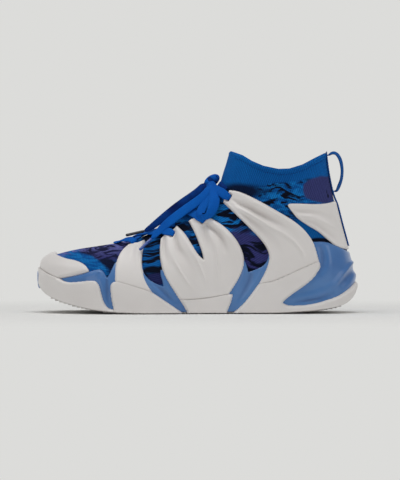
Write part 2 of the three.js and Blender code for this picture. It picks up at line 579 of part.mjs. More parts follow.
// The slot's own directions: out of the surface, and the way the lace travels as it arrives.
function eyeletAt(row, side, from) {
  const [station, across] = ROWS[row].eyelet;
  const spot = [station, side * across];
  const out = face3(spot);
  const travel = place3(spot, 0).sub(place3(between(from, spot, 0.85), 0));
  travel.addScaledVector(out, -travel.dot(out)).normalize();
  return { spot, out, travel, centre: place3(spot, 0) };
}
const arrivesFrom = (row, side) =>
  row === 0 ? [7, side * 0.05] : [ROWS[row - 1].edge[0], -side * ROWS[row - 1].edge[1]];

function eyeletSlot(row, side) {
  const { out, travel, centre } = eyeletAt(row, side, arrivesFrom(row, side));
  const box = new THREE.BoxGeometry(EYELET.length, LACE.width + 2 * EYELET.clearance, 3 * UPPER_PANEL);
  const turn = new THREE.Matrix4().makeBasis(travel, out.clone().cross(travel), out);
  box.applyMatrix4(turn.setPosition(centre.clone().addScaledVector(out, UPPER_PANEL)));
  return solidOf(box);
}
const eyeletSlots = (side) => ROWS.map((_, row) => eyeletSlot(row, side)).reduce((a, b) => a.add(b));

// The room that a strand needs where it comes out from under a panel's edge.
function strandRooms(side) {
  const rooms = ROWS.slice(0, -1).map(({ edge: [station, across] }, row) => {
    const start = [station, side * across];
    const goal = eyeletAt(row + 1, -side, start).spot;
    const spots = [0, 0.03, 0.06].map((share) => between(start, goal, share));
    const points = spots.map((spot) => place3(spot, UNDER));
    return ribbon(points, spots.map(face3), LACE.width + 2 * TUCK, LACE.thickness + 2 * TUCK, 1);
  });
  return rooms.reduce((a, b) => a.add(b));
}

// The last few points of a strand: over the panel's tip and down into its slot.
function diveInto({ out, travel, centre }) {
  const at = (along, lift) => centre.clone().addScaledVector(travel, along).addScaledVector(out, lift);
  const points = [at(-3.6, RIDE), at(-1.6, RIDE - 0.1), at(-0.1, RIDE - 1), at(0.35, RIDE - 2.2), at(0.4, UNDER + 0.2)];
  const faces = [[0, 1], [0.3, 1], [1, 0.8], [1, 0.15], [1, 0]].map(([along, up]) =>
    travel.clone().multiplyScalar(along).addScaledVector(out, up));
  return { points, faces };
}

// A strand across the throat: out from under one panel, over or under its partner, into the next eyelet.
// The two meet where they pass the ridge, and each rises onto the panel just before its edge.
function crossing(row, side, meeting) {
  const start = [ROWS[row].edge[0], -side * ROWS[row].edge[1]];
  const eyelet = eyeletAt(row + 1, side, start);
  const whole = ROWS[row].edge[1] + ROWS[row + 1].eyelet[1];
  const ridge = ROWS[row].edge[1] / whole;
  const edge = (ROWS[row].edge[1] + ROWS[row + 1].edge[1]) / whole;
  const clear = row === ROWS.length - 2 ? OVER + 0.8 : OVER; // above the short ends at the top
  const lift = through([
    [0, UNDER], [Math.max(0.1, ridge - 0.16), meeting], [ridge, meeting], [ridge + 0.12, meeting],
    [ridge + 0.2, clear], [edge - 0.05, clear], [edge + 0.03, RIDE + 0.3],
  ]);
  const shares = Array.from({ length: 11 }, (_, i) => (i * (edge + 0.03)) / 10);
  const points = shares.map((share) => place3(between(start, eyelet.spot, share), lift(share)));
  const faces = shares.map((share) => face3(between(start, eyelet.spot, share)));
  const end = diveInto(eyelet);
  return ribbon([...points, ...end.points], [...faces, ...end.faces], LACE.width, LACE.thickness, 1);
}

function frontBar() {
  const half = (side) => [[7.0, side * 0.03], [7.12, side * 0.07], [7.36, side * 0.11]];
  const lifts = [UNDER, UNDER + 0.3, OVER + 1.2];
  const ends = [LATERAL, MEDIAL].map((side) => diveInto(eyeletAt(0, side, [7, side * 0.05])));
  const [lateral, medial] = [half(LATERAL), half(MEDIAL)];
  const points = [
    ...ends[0].points.slice().reverse(), ...lateral.map((spot, i) => place3(spot, lifts[i])).reverse(),
    ...medial.map((spot, i) => place3(spot, lifts[i])), ...ends[1].points,
  ];
  const faces = [
    ...ends[0].faces.slice().reverse(), ...lateral.map(face3).reverse(), ...medial.map(face3), ...ends[1].faces,
  ];
  return ribbon(points, faces, LACE.width, LACE.thickness);
}

// Free ends and bows. Each row is a station, a share across (lateral side) and a height over a strand
// that lies on a white panel, chosen by hand along the lace as it hangs.
const BOW = [ // out from the knot, over the fold, and back underneath
  [13.95, 0.07, 3.65], [13.7, 0.1, 5.45], [13.4, 0.132, 6.75], [13.05, 0.168, 7.25], [12.7, 0.203, 7.15],
  [12.35, 0.236, 6.85], [12.05, 0.263, 6.45], [11.85, 0.281, 5.55], [11.77, 0.288, 4.35], [11.84, 0.282, 3.15],
  [12.05, 0.263, 2.55], [12.35, 0.236, 2.55], [12.7, 0.2, 2.95], [13.05, 0.16, 3.25], [13.4, 0.12, 3.25],
];
const TAIL = [
  [13.35, 0.085, 1.65], [13.0, 0.115, 1.45], [12.6, 0.135, 1.25], [12.15, 0.145, 1.15], [11.6, 0.148, 1.15],
  [11.05, 0.148, 1.15], [10.5, 0.15, 1.55], [10.05, 0.152, 1.85], [9.65, 0.163, 1.65], [9.25, 0.182, 1.25],
  [8.9, 0.2, 1.05],
];
const TAIL_TIP = [8.15, 0.285, 2.25];
const EDGE_TAIL = [ // stands on its edge beside the ridge: heights of that edge
  [13.05, 0.04, -0.55], [12.75, 0.065, -0.75], [12.3, 0.082, -1.15], [11.8, 0.088, -1.35], [11.3, 0.09, -1.35],
  [10.8, 0.091, -1.35], [10.3, 0.093, -1.35], [9.8, 0.097, -1.45], [9.35, 0.1, -1.55], [8.95, 0.102, -1.75],
  [8.6, 0.102, -2.15],
];
const EDGE_TIP = [7.5, 0.095, -1.55];
const STANDS = HANG + LACE.width / 2; // the middle of a strand that stands on its edge
const onSide = (rows, side) => rows.map(([station, across, lift]) => [[station, side * across], lift]);

function freeLace(rows, side, face, base = HANG) {
  const spots = onSide(rows, side);
  const points = spots.map(([spot, lift]) => place3(spot, base + lift));
  const faces = spots.map(([spot]) => (face ? face.clone() : face3(spot)));
  return ribbon(points, faces, LACE.width, LACE.thickness, 1);
}
// A loop of the bow: the lace lies flat and folds back under itself, so its width keeps one direction.
function bowLoop(side) {
  const spots = onSide(BOW, side);
  const points = spots.map(([spot, lift]) => place3(spot, HANG + lift));
  const middle = Math.floor(points.length / 4);
  const wide = face3(spots[middle][0]).cross(points[2 * middle].clone().sub(points[0]));
  const faces = points.map((_, i) => {
    const ahead = points[Math.min(i + 1, points.length - 1)].clone().sub(points[Math.max(i - 1, 0)]);
    return ahead.cross(wide).negate().normalize();
  });
  return ribbon(points, faces, LACE.width, LACE.thickness);
}

function aglet(rows, tip, side, base = HANG) {
  const [[lastSpot, lastLift]] = onSide([rows[rows.length - 1]], side);
  const [[tipSpot, tipLift]] = onSide([tip], side);
  const from = place3(lastSpot, base + lastLift);
  const along = place3(tipSpot, base + tipLift).sub(from).normalize();
  const rod = new THREE.CylinderGeometry(AGLET.radius, AGLET.radius, AGLET.length, 10);
  rod.applyQuaternion(new THREE.Quaternion().setFromUnitVectors(new THREE.Vector3(0, 1, 0), along));
  const middle = from.addScaledVector(along, AGLET.length / 2 + GAP + 0.6);
  rod.translate(middle.x, middle.y, middle.z);
  return rod;
}

function makeLaces() {
  place("lace_front_bar", frontBar(), "lace");
  for (let row = 0; row < ROWS.length - 1; row++) {
    place(`lace_${row + 1}_to_lateral`, crossing(row, LATERAL, OVER), "lace");
    place(`lace_${row + 1}_to_medial`, crossing(row, MEDIAL, UNDER), "lace");
  }
  const [station, across] = ROWS[ROWS.length - 1].edge;
  for (const [word, side] of SIDES) {
    const low = UNDER - HANG;
    const rows = [[station, across, low], [14.8, 0.12, low], [14.8, 0.09, low], [14.8, 0.062, low + 0.3]];
    place(`lace_top_${word}`, freeLace(rows, side), "lace");
  }
  const knot = new THREE.SphereGeometry(1, 16, 10);
  const out = normalOnLast(KNOT.station, 0, LATERAL);
  const sideways = new THREE.Vector3(0, 1, 0);
  knot.scale(...KNOT.radii);
  knot.applyMatrix4(new THREE.Matrix4().makeBasis(sideways.clone().cross(out), sideways, out));
  const centre = offLast(KNOT.station, 0, LATERAL, OVER + UNDER + KNOT.radii[2]);
  knot.translate(centre.x, centre.y, centre.z);
  place("lace_knot", solidOf(knot), "lace");
  for (const [word, side] of SIDES) place(`bow_loop_${word}`, bowLoop(side), "lace");
  place("lace_tail_lateral", freeLace(TAIL, LATERAL), "lace");
  place("aglet_lateral", aglet(TAIL, TAIL_TIP, LATERAL), "lace");
  place("lace_tail_medial", freeLace(EDGE_TAIL, LATERAL, new THREE.Vector3(0, -1, 0.55), STANDS), "lining");
  place("aglet_medial", aglet(EDGE_TAIL, EDGE_TIP, LATERAL, STANDS), "lining");
}

makeOutsole();
makeSoleInside();
makeBootie();
makeCage();
makeWhitePanels();
makeWebbing();
makeLaces();

export default parts;
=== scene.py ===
# %% [markdown]
# # A knit basketball high top, left foot
# The shoe is a sock-like knitted bootie on a foam sole. A glossy blue cage is moulded onto its sides,
# and pleated white panels stand on the cage like folded wings. A flat lace zigzags over the throat and
# ends in a bow, and a webbing loop at the heel helps to pull the shoe on.
# The frame gives the CAD model: its box, its bodies and its joint. Everything here is in metres.

import math

import bpy
import numpy as np
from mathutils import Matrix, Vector


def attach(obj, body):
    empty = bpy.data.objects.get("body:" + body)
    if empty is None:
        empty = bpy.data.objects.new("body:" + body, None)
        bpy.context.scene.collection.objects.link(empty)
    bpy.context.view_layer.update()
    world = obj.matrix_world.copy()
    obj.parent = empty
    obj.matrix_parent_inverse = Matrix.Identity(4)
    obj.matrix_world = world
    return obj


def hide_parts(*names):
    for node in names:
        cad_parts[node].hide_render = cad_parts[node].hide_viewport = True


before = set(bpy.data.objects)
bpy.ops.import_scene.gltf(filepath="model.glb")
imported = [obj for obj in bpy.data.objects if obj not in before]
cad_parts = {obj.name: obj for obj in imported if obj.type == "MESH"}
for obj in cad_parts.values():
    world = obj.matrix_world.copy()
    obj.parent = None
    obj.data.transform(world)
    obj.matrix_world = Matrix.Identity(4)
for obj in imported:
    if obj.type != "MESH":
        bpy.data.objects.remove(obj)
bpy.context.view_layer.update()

# %% [markdown]
# ## Camera, light and floor
# A shop shows a shoe from the side through a long lens, so its lines stay nearly parallel. The camera
# stands 3.4 m away and hardly above the sole. The floor is pale, bends up far behind the shoe, and
# glows evenly away from it, as an overlit studio sweep does, so it shows no horizon. One wide soft box
# overhead leaves the side walls darker than the top.

# %% Camera
MM = 0.001
DISTANCE = 3.4
TILT = math.radians(1.0)
frame_height = 0.4578  # metres of the subject plane that the picture's height takes in
camera_data = bpy.data.cameras.new("studio_camera")
camera_data.sensor_fit = "VERTICAL"
camera_data.sensor_height = 36.0
camera_data.lens = 36.0 * DISTANCE / frame_height
camera = bpy.data.objects.new("studio_camera", camera_data)
bpy.context.scene.collection.objects.link(camera)
aim = Vector((0.0023, 0.0, 0.069))
camera.location = aim + Vector((0, -DISTANCE * math.cos(TILT), DISTANCE * math.sin(TILT)))
camera.rotation_euler = (math.pi / 2 - TILT, 0, 0)
bpy.context.scene.camera = camera
print("lens:", round(camera_data.lens), "mm")

# %% Floor and light
BACKDROP = (0.716, 0.716, 0.7)


def sweep_paint():
    """Pale paint that takes shadows near the shoe and glows evenly further away."""
    material = bpy.data.materials.new("sweep_paint")
    material.use_nodes = True
    tree = material.node_tree
    paint = tree.nodes["Principled BSDF"]
    paint.inputs["Base Color"].default_value = (0.86, 0.86, 0.845, 1)
    paint.inputs["Roughness"].default_value = 1.0
    paint.inputs["Specular IOR Level"].default_value = 0.0
    place = tree.nodes.new("ShaderNodeTexCoord")
    stretch = tree.nodes.new("ShaderNodeVectorMath")
    stretch.operation = "MULTIPLY"
    stretch.inputs[1].default_value = (1.0, 1.6, 1.0)
    far = tree.nodes.new("ShaderNodeVectorMath")
    far.operation = "LENGTH"
    share = tree.nodes.new("ShaderNodeMapRange")
    share.interpolation_type = "SMOOTHSTEP"
    share.inputs["From Min"].default_value, share.inputs["From Max"].default_value = 0.17, 0.62
    glow = tree.nodes.new("ShaderNodeEmission")
    glow.inputs["Color"].default_value = (*BACKDROP, 1)
    mixed = tree.nodes.new("ShaderNodeMixShader")
    for start, end in (
            (place.outputs["Object"], stretch.inputs[0]), (stretch.outputs[0], far.inputs[0]),
            (far.outputs["Value"], share.inputs["Value"]), (share.outputs["Result"], mixed.inputs[0]),
            (paint.outputs[0], mixed.inputs[1]), (glow.outputs[0], mixed.inputs[2]),
            (mixed.outputs[0], tree.nodes["Material Output"].inputs["Surface"])):
        tree.links.new(start, end)
    return material


def sweep_floor():
    """A floor that bends up behind the shoe in one smooth curve."""
    profile = [(-30.0, 0.0), (6.0, 0.0)]
    profile += [(6 + 8 * math.sin(t), 8 * (1 - math.cos(t))) for t in np.linspace(0.1, 1.5, 24)]
    verts, faces = [], []
    for y, z in profile:
        verts += [(-40, y, z), (40, y, z)]
    for i in range(len(profile) - 1):
        faces.append((2 * i, 2 * i + 1, 2 * i + 3, 2 * i + 2))
    mesh = bpy.data.meshes.new("studio_floor")
    mesh.from_pydata(verts, [], faces)
    mesh.shade_smooth()
    mesh.materials.append(sweep_paint())
    floor = bpy.data.objects.new("studio_floor", mesh)
    bpy.context.scene.collection.objects.link(floor)
    floor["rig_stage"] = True
    return floor


def soft_box(name, at, to, size, watts):
    light = bpy.data.lights.new(name, "AREA")
    light.shape, light.size, light.size_y, light.energy = "RECTANGLE", size[0], size[1], watts
    lamp = bpy.data.objects.new(name, light)
    bpy.context.scene.collection.objects.link(lamp)
    lamp.location = at
    lamp.rotation_euler = (Vector(to) - Vector(at)).to_track_quat("-Z", "Y").to_euler()
    return lamp


floor = sweep_floor()
soft_box("overhead_box", (-0.1, -0.25, 1.6), (0, 0, 0.05), (1.5, 1.0), 12.0)
soft_box("front_fill", (-1.3, -2.0, 0.8), (0, 0, 0.06), (1.2, 1.2), 3.4)
soft_box("heel_fill", (1.6, -0.9, 0.7), (0.1, 0, 0.06), (0.9, 0.9), 2.4)
world = bpy.data.worlds.new("studio_world")
bpy.context.scene.world = world
world.use_nodes = True
world.node_tree.nodes["Background"].inputs["Color"].default_value = (1.0, 1.0, 0.99, 1)
world.node_tree.nodes["Background"].inputs["Strength"].default_value = 0.34
bpy.context.scene.view_settings.view_transform = "Standard"

# %% [markdown]
# ## The last
# A shoemaker builds every layer over one wooden form, the last. Here it is a formula: section lines
# fan out from the throat to the sole, and each has a width. A point is a station along the foot and
# a share across it, so laces and panels can be placed by where they lie on the foot.

# %% Smooth functions
def through(pairs):
    """A smooth function through (key, value) pairs that goes on straight past both ends."""
    keys = np.array([pair[0] for pair in pairs], float)
    values = np.array([pair[1] for pair in pairs], float)
    order = np.arange(len(keys))
    before, after = np.maximum(order - 1, 0), np.minimum(order + 1, len(keys) - 1)
    slope = (values[after] - values[before]) / (keys[after] - keys[before])

    def at(key):
        key = np.asarray(key, float)
        i = np.clip(np.searchsorted(keys, key, side="left") - 1, 0, len(keys) - 2)
        span = keys[i + 1] - keys[i]
        t = (key - keys[i]) / span
        s = np.clip(t, 0, 1)
        value = values[i] + (values[i + 1] - values[i]) * s * s * (3 - 2 * s)
        value = value + span * s * (1 - s) * (slope[i] * (1 - s) - slope[i + 1] * s)
        value = value + np.where(t < 0, slope[i] * (key - keys[i]), 0)
        return value + np.where(t > 1, slope[i + 1] * (key - keys[i + 1]), 0)

    return at


def rounded(inside, reach, power):
    """0 at a rounded end, growing to 1 at `reach` inside it."""
    left = 1 - np.clip(inside / reach, 0, 1)
    return (1 - left**power) ** (1 / power)


def signed_power(values, power):
    """Rounds a circle towards a box: its sine and cosine, raised to a power below 1."""
    return np.sign(values) * np.abs(values) ** power


def unit(vectors):
    vectors = np.asarray(vectors, float)
    return vectors / np.maximum(np.linalg.norm(vectors, axis=-1, keepdims=True), 1e-9)


# %% The last's formula, in millimetres
STATIONS = [  # throat x and z, sole or heel-back x and z, and how deep the rounding goes
    (-147.8, 40, -147.8, 40, 24), (-146.6, 46.5, -147.4, 30, 24), (-143.6, 50.5, -145.4, 22, 25),
    (-137.4, 54, -140.6, 14.5, 27), (-127.6, 57.2, -131.4, 8.5, 32), (-112, 60.6, -118, 3, 38),
    (-94, 63.4, -100, -1, 42), (-76, 66.4, -80, -3, 46), (-57.5, 70.5, -55, -4, 52),
    (-43, 76.5, -28, -4, 58), (-28.5, 87.5, 2, -4, 64), (-14, 99.5, 34, -4, 68),
    (0, 109.5, 66, -3.5, 66), (10, 115.8, 96, -2, 60), (17.5, 119.8, 120, 1.5, 54),
    (21.5, 124, 136.5, 7.5, 50), (23.2, 129, 145.6, 18, 48), (25, 135, 147.8, 34, 47),
    (27, 141, 143.8, 54, 46), (29, 148, 136, 82, 45), (31, 154, 129.6, 108, 45),
    (33, 160, 124.4, 133, 45), (34.5, 167, 121, 160, 45),
]
LAST_STATION = len(STATIONS) - 1
HEEL_STATION = 17
HEEL_Y = -2.4
LATERAL, MEDIAL = -1, 1
top_x, top_z, end_x, end_z, round_depth = (
    through([(i, row[k]) for i, row in enumerate(STATIONS)]) for k in range(5)
)
lateral_width = through([
    (-150, 44), (-120, 46), (-100, 49.5), (-80, 51), (-60, 50.5), (-40, 48), (-20, 45), (0, 42.5),
    (25, 40), (60, 38.5), (100, 37.5), (150, 37)])
medial_width = through([
    (-150, 42), (-120, 46.5), (-100, 49.5), (-80, 49.5), (-60, 47), (-40, 42.5), (-20, 38.5), (0, 36.5),
    (25, 36.5), (60, 37.5), (100, 37.5), (150, 37)])
centre_line = through([
    (-150, 6.6), (-120, 4.1), (-90, 1.1), (-50, -0.9), (0, -1.9), (50, HEEL_Y), (150, HEEL_Y)])
ankle_taper = through([(-20, 1), (45, 1), (75, 0.95), (100, 0.9), (125, 0.88), (165, 0.93)])
back_at = through([
    (-10, 148), (34, 148), (44, 146.5), (54, 143.8), (82, 136), (108, 129.6), (133, 124.4), (160, 121)])


def on_last(station, across, side):
    """Points of the last. across runs from 0 on the ridge to 1 at the sole or the back of the heel."""
    station, across, side = np.broadcast_arrays(*(np.asarray(v, float) for v in (station, across, side)))
    share = (1 - np.cos(np.pi * across)) / 2
    tx, tz, ex, ez = top_x(station), top_z(station), end_x(station), end_z(station)
    x, z = tx + (ex - tx) * share, tz + (ez - tz) * share
    width = np.where(side < 0, lateral_width(x), medial_width(x))
    half = width * rounded(x + 148.1, 58, 2.25) * rounded(back_at(z) - x, 46, 2.05)
    half = half * rounded(share * np.hypot(ex - tx, ez - tz), round_depth(station), 2.05) * ankle_taper(z)
    meets = (across == 0) | ((across == 1) & (station >= HEEL_STATION)) | (station == 0)
    return np.stack([x, centre_line(x) + side * np.where(meets, 0, half), z], axis=-1)


def last_normal(station, across, side):
    station, across, side = np.broadcast_arrays(*(np.asarray(v, float) for v in (station, across, side)))
    s = np.clip(station, 0.15, LAST_STATION - 0.02)
    a = np.clip(across, 0.012, 0.988)
    along = on_last(s + 0.02, a, side) - on_last(s - 0.02, a, side)
    around = on_last(s, a + 0.01, side) - on_last(s, a - 0.01, side)
    normal = unit(np.cross(along, around) * side[..., None])
    flat = (across == 0) | ((across == 1) & (station >= HEEL_STATION))
    normal[flat, 1] = 0
    normal = unit(normal)
    normal[station == 0] = (-1, 0, 0)
    return normal


def off_last(station, across, side, offset):
    return on_last(station, across, side) + last_normal(station, across, side) * np.asarray(offset)[..., None]


print("ridge over the toes:", on_last(7, 0, LATERAL).round(1), "heel back:", on_last(17, 1, LATERAL).round(1))

# %% [markdown]
# ## Cutting pieces out of the last
# Every layer starts as a fine net of triangles over the last. A panel is the part of the net inside
# an outline drawn in the side view. The net is cut exactly along the outline, and again along lines
# beside it, so a rounded edge has clean rows of faces. The cut part is then raised to its own height
# and closed with an inner wall, as a moulded part would be.

# %% The net
def halves(a, b, c, d):
    """Two triangles for each four-sided face, without those that a pole flattens."""
    triangles = np.concatenate([np.stack([a, b, c], -1).reshape(-1, 3),
                                np.stack([a, c, d], -1).reshape(-1, 3)])
    return triangles[(triangles != np.roll(triangles, 1, axis=1)).all(axis=1)]


def last_net(spacing, columns):
    """Triangles over the whole last, and for each vertex its place, normal, pattern place and side."""
    fine = np.linspace(0, LAST_STATION, 4000)
    travel = np.maximum(
        np.hypot(np.diff(top_x(fine)), np.diff(top_z(fine))),
        np.hypot(np.diff(end_x(fine)), np.diff(end_z(fine))),
    )
    travel = np.concatenate([[0], np.cumsum(travel)])
    rows = int(travel[-1] / spacing)
    station = np.interp(np.linspace(0, travel[-1], rows + 1), travel, fine)
    across = np.linspace(-1, 1, 2 * columns + 1)
    grid_s, grid_a = np.meshgrid(station, across, indexing="ij")
    side = np.where(grid_a > 0, MEDIAL, LATERAL)
    points = on_last(grid_s, np.abs(grid_a), side)
    normals = last_normal(grid_s, np.abs(grid_a), side)
    steps = np.linalg.norm(np.diff(points, axis=1), axis=2)
    around = np.concatenate([np.zeros((rows + 1, 1)), np.cumsum(steps, axis=1)], axis=1)
    around -= around[:, columns:columns + 1]
    data = np.concatenate([
        points.reshape(-1, 3), normals.reshape(-1, 3), around.reshape(-1, 1),
        np.repeat(np.linspace(0, travel[-1], rows + 1), 2 * columns + 1)[:, None],
        np.sign(grid_a).reshape(-1, 1),
    ], axis=1)
    index = np.arange(len(data)).reshape(rows + 1, -1)
    index[0, :] = index[0, 0]
    behind = station >= HEEL_STATION
    index[behind, -1] = index[behind, 0]
    triangles = halves(index[:-1, :-1], index[1:, :-1], index[1:, 1:], index[:-1, 1:])
    p = data[:, :3]
    face = np.cross(p[triangles[:, 1]] - p[triangles[:, 0]], p[triangles[:, 2]] - p[triangles[:, 0]])
    if (face * data[triangles[:, 0], 3:6]).sum() < 0:
        triangles = triangles[:, ::-1]
    return triangles, data


POINT, NORMAL, PATTERN, SIDE = slice(0, 3), slice(3, 6), slice(6, 8), 8
fine_net = last_net(1.0, 150)
knit_net = last_net(1.65, 84)
print("fine net:", len(fine_net[0]), "triangles; knit net:", len(knit_net[0]))

# %% Cutting and closing
def cut(triangles, data, level, both=False):
    """Cuts triangles where level is 0, and keeps the part above it, or both parts."""
    above = level > 0
    inside = above[triangles]
    count = inside.sum(axis=1)
    kept = [triangles[count == 3]] + ([triangles[count == 0]] if both else [])
    mixed = (count == 1) | (count == 2)
    part, part_in, single = triangles[mixed], inside[mixed], count[mixed] == 1
    odd = np.where(single, part_in.argmax(axis=1), (~part_in).argmax(axis=1))
    a, b, c = np.take_along_axis(part, (odd[:, None] + np.arange(3)) % 3, axis=1).T
    edges = np.sort(np.stack([np.concatenate([a, a]), np.concatenate([b, c])], axis=1), axis=1)
    found, place = np.unique(edges, axis=0, return_inverse=True)
    place = place.reshape(-1)
    low, high = level[found[:, 0]], level[found[:, 1]]
    share = (low / (low - high))[:, None]
    new = data[found[:, 0]] * (1 - share) + data[found[:, 1]] * share
    ab, ac = len(data) + place[:len(a)], len(data) + place[len(a):]
    tip = np.stack([a, ab, ac], axis=1)
    rest = [np.stack([ab, b, c], axis=1), np.stack([ab, c, ac], axis=1)]
    kept.append(tip if both else tip[single])
    kept += [r if both else r[~single] for r in rest]
    return np.concatenate(kept), np.concatenate([data, new]), np.concatenate([level, np.zeros(len(new))])


def compact(triangles, data):
    used, place = np.unique(triangles, return_inverse=True)
    return place.reshape(-1, 3), data[used]


def ball_faces(rows, columns, poles=(0, -1)):
    """Triangles over a grid of rings that wrap round, and whose first or last ring is one point."""
    ring = np.arange(rows * columns).reshape(rows, columns)
    for row in poles:
        ring[row] = ring[row, 0]
    return halves(ring[:-1], ring[1:], np.roll(ring[1:], -1, axis=1), np.roll(ring[:-1], -1, axis=1))


def tube_faces(rows, columns):
    """Triangles along a tube whose ends close on the two vertices that follow its rings."""
    a = np.arange(rows * columns).reshape(rows, columns)
    b = np.roll(a, -1, axis=1)
    first, last = np.full(columns, rows * columns), np.full(columns, rows * columns + 1)
    return np.concatenate([
        halves(a[:-1], b[:-1], b[1:], a[1:]), np.stack([b[0], a[0], first], -1),
        np.stack([a[-1], b[-1], last], -1)])


def settle(piece, finish, slot, *nodes, body="shoe"):
    """Gives a piece its finish, the body it rides on and the CAD nodes that it stands for."""
    piece.data.materials.append(finish)
    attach(piece, body)
    if nodes:
        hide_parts(*nodes)


def link(name, verts, faces, smooth=True):
    """A mesh object from places in millimetres."""
    mesh = bpy.data.meshes.new(name)
    mesh.from_pydata((np.asarray(verts) * MM).tolist(), [], np.asarray(faces).tolist())
    if smooth:
        mesh.shade_smooth()
    piece = bpy.data.objects.new(name, mesh)
    bpy.context.scene.collection.objects.link(piece)
    return piece


def put_attribute(piece, name, values):
    attribute = piece.data.attributes.new(name, "FLOAT", "POINT")
    attribute.data.foreach_set("value", np.asarray(values, np.float32))


def put_pattern_map(piece, places):
    """A UV map in millimetres over the surface, for weave and knit."""
    layer = piece.data.uv_layers.new(name="pattern")
    corners = np.zeros(len(piece.data.loops), int)
    piece.data.loops.foreach_get("vertex_index", corners)
    layer.data.foreach_set("uv", np.asarray(places, np.float32)[corners].reshape(-1))


def close_shell(name, triangles, outer, inner, pattern, **attributes):
    """One closed piece from an outer and an inner sheet with the same triangles."""
    edges = np.concatenate([triangles[:, [0, 1]], triangles[:, [1, 2]], triangles[:, [2, 0]]])
    key = np.sort(edges, axis=1)
    _, first, times = np.unique(key, axis=0, return_index=True, return_counts=True)
    rim = edges[first[times == 1]]
    n = len(outer)
    walls = np.concatenate([
        np.stack([rim[:, 1], rim[:, 0], rim[:, 0] + n], axis=1),
        np.stack([rim[:, 1], rim[:, 0] + n, rim[:, 1] + n], axis=1),
    ])
    faces = np.concatenate([triangles, triangles[:, ::-1] + n, walls])
    piece = link(name, np.concatenate([outer, inner]), faces)
    put_pattern_map(piece, np.concatenate([pattern, pattern]))
    for label, values in attributes.items():
        put_attribute(piece, label, np.concatenate([values, values]))
    return piece


# %% Outlines in the side view
def nearest(points, lines):
    """For each point the distance to the lines, the way there, and the values that the lines carry."""
    best = np.full(len(points), 1e6)
    way = np.zeros((len(points), 2))
    carried = np.zeros((len(points), max(0, lines[0].shape[1] - 2))) if lines else np.zeros((len(points), 0))
    for line in lines:
        for a, b in zip(line[:-1], line[1:]):
            ab = b[:2] - a[:2]
            t = np.clip(((points - a[:2]) @ ab) / max(ab @ ab, 1e-9), 0, 1)
            to = a[:2] + t[:, None] * ab - points
            distance = np.hypot(to[:, 0], to[:, 1])
            closer = distance < best
            best[closer], way[closer] = distance[closer], to[closer]
            carried[closer] = (a[2:] + t[closer, None] * (b[2:] - a[2:]))
    return best, unit(way), carried


def within(points, ring):
    inside = np.zeros(len(points), bool)
    x, z = points[:, 0], points[:, 1]
    for (ax, az), (bx, bz) in zip(ring, np.roll(ring, -1, axis=0)):
        if az == bz:
            continue
        crosses = (az > z) != (bz > z)
        inside ^= crosses & (x < (bx - ax) * (z - az) / (bz - az) + ax)
    return inside


def crown(distance, reach):
    """The height of a rounded edge, from 0 on the edge to 1 at `reach` inside it."""
    left = 1 - np.clip(distance / reach, 0, 1)
    return np.sqrt(1 - left * left)


def ease(value, low, high):
    t = np.clip((value - low) / (high - low), 0, 1)
    return t * t * (3 - 2 * t)


print("a square holds its middle:", within(np.array([[0.5, 0.5]]),
                                           np.array([[0, 0], [1, 0], [1, 1], [0, 1]])))

# %% [markdown]
# ## Finishes
# The knit, the webbing and the laces share a weave; the moulded parts share a fine skin texture and
# a mask that paints shade into their folds and wear along their edges. Each such effect is a node group with
# named inputs, and each material holds its own shader and colours. Patterns read object coordinates in
# metres, or the pattern map in millimetres that every piece carries.

# %% Node helpers
def node(tree, kind, inputs=None, **settings):
    made = tree.nodes.new(kind)
    for key, value in settings.items():
        setattr(made, key, value)
    for key, value in (inputs or {}).items():
        if isinstance(value, bpy.types.NodeSocket):
            tree.links.new(value, made.inputs[key])
        else:
            made.inputs[key].default_value = value
    return made


def sums(tree, operation, a, b=0.0):
    return node(tree, "ShaderNodeMath", {0: a, 1: b}, operation=operation).outputs[0]


def smooth_step(tree, value, low, high, start=0.0, stop=1.0):
    made = node(tree, "ShaderNodeMapRange", {
        "Value": value, "From Min": low, "From Max": high, "To Min": start, "To Max": stop,
    }, interpolation_type="SMOOTHSTEP")
    return made.outputs["Result"]


def product(tree, a, b):
    return sums(tree, "MULTIPLY", a, b)


def blend_colours(tree, share, first, second):
    made = node(tree, "ShaderNodeMix", {"Factor": share}, data_type="RGBA")
    for socket, value in ((made.inputs[6], first), (made.inputs[7], second)):
        if isinstance(value, bpy.types.NodeSocket):
            tree.links.new(value, socket)
        else:
            socket.default_value = (*value, 1)
    return made.outputs[2]


def effect(name, inputs, outputs):
    """An empty shader node group with named sockets."""
    tree = bpy.data.node_groups.new(name, "ShaderNodeTree")
    for label, kind, default in inputs:
        socket = tree.interface.new_socket(name=label, in_out="INPUT", socket_type=kind)
        if default is not None:
            socket.default_value = default
    for label, kind in outputs:
        tree.interface.new_socket(name=label, in_out="OUTPUT", socket_type=kind)
    return tree, node(tree, "NodeGroupInput").outputs, node(tree, "NodeGroupOutput").inputs


def use(tree, group, **inputs):
    made = node(tree, "ShaderNodeGroup", node_tree=group)
    for key, value in inputs.items():
        socket = made.inputs[key.replace("_", " ")]
        if isinstance(value, bpy.types.NodeSocket):
            tree.links.new(value, socket)
        else:
            socket.default_value = value
    return made.outputs


def noise(tree, place, scale, detail=2.0, roughness=0.5, distortion=0.0):
    made = node(tree, "ShaderNodeTexNoise", {
        "Vector": place, "Scale": scale, "Detail": detail, "Roughness": roughness, "Distortion": distortion})
    return made.outputs["Fac"]


# %% Shared effects
FLOAT, VECTOR = "NodeSocketFloat", "NodeSocketVector"

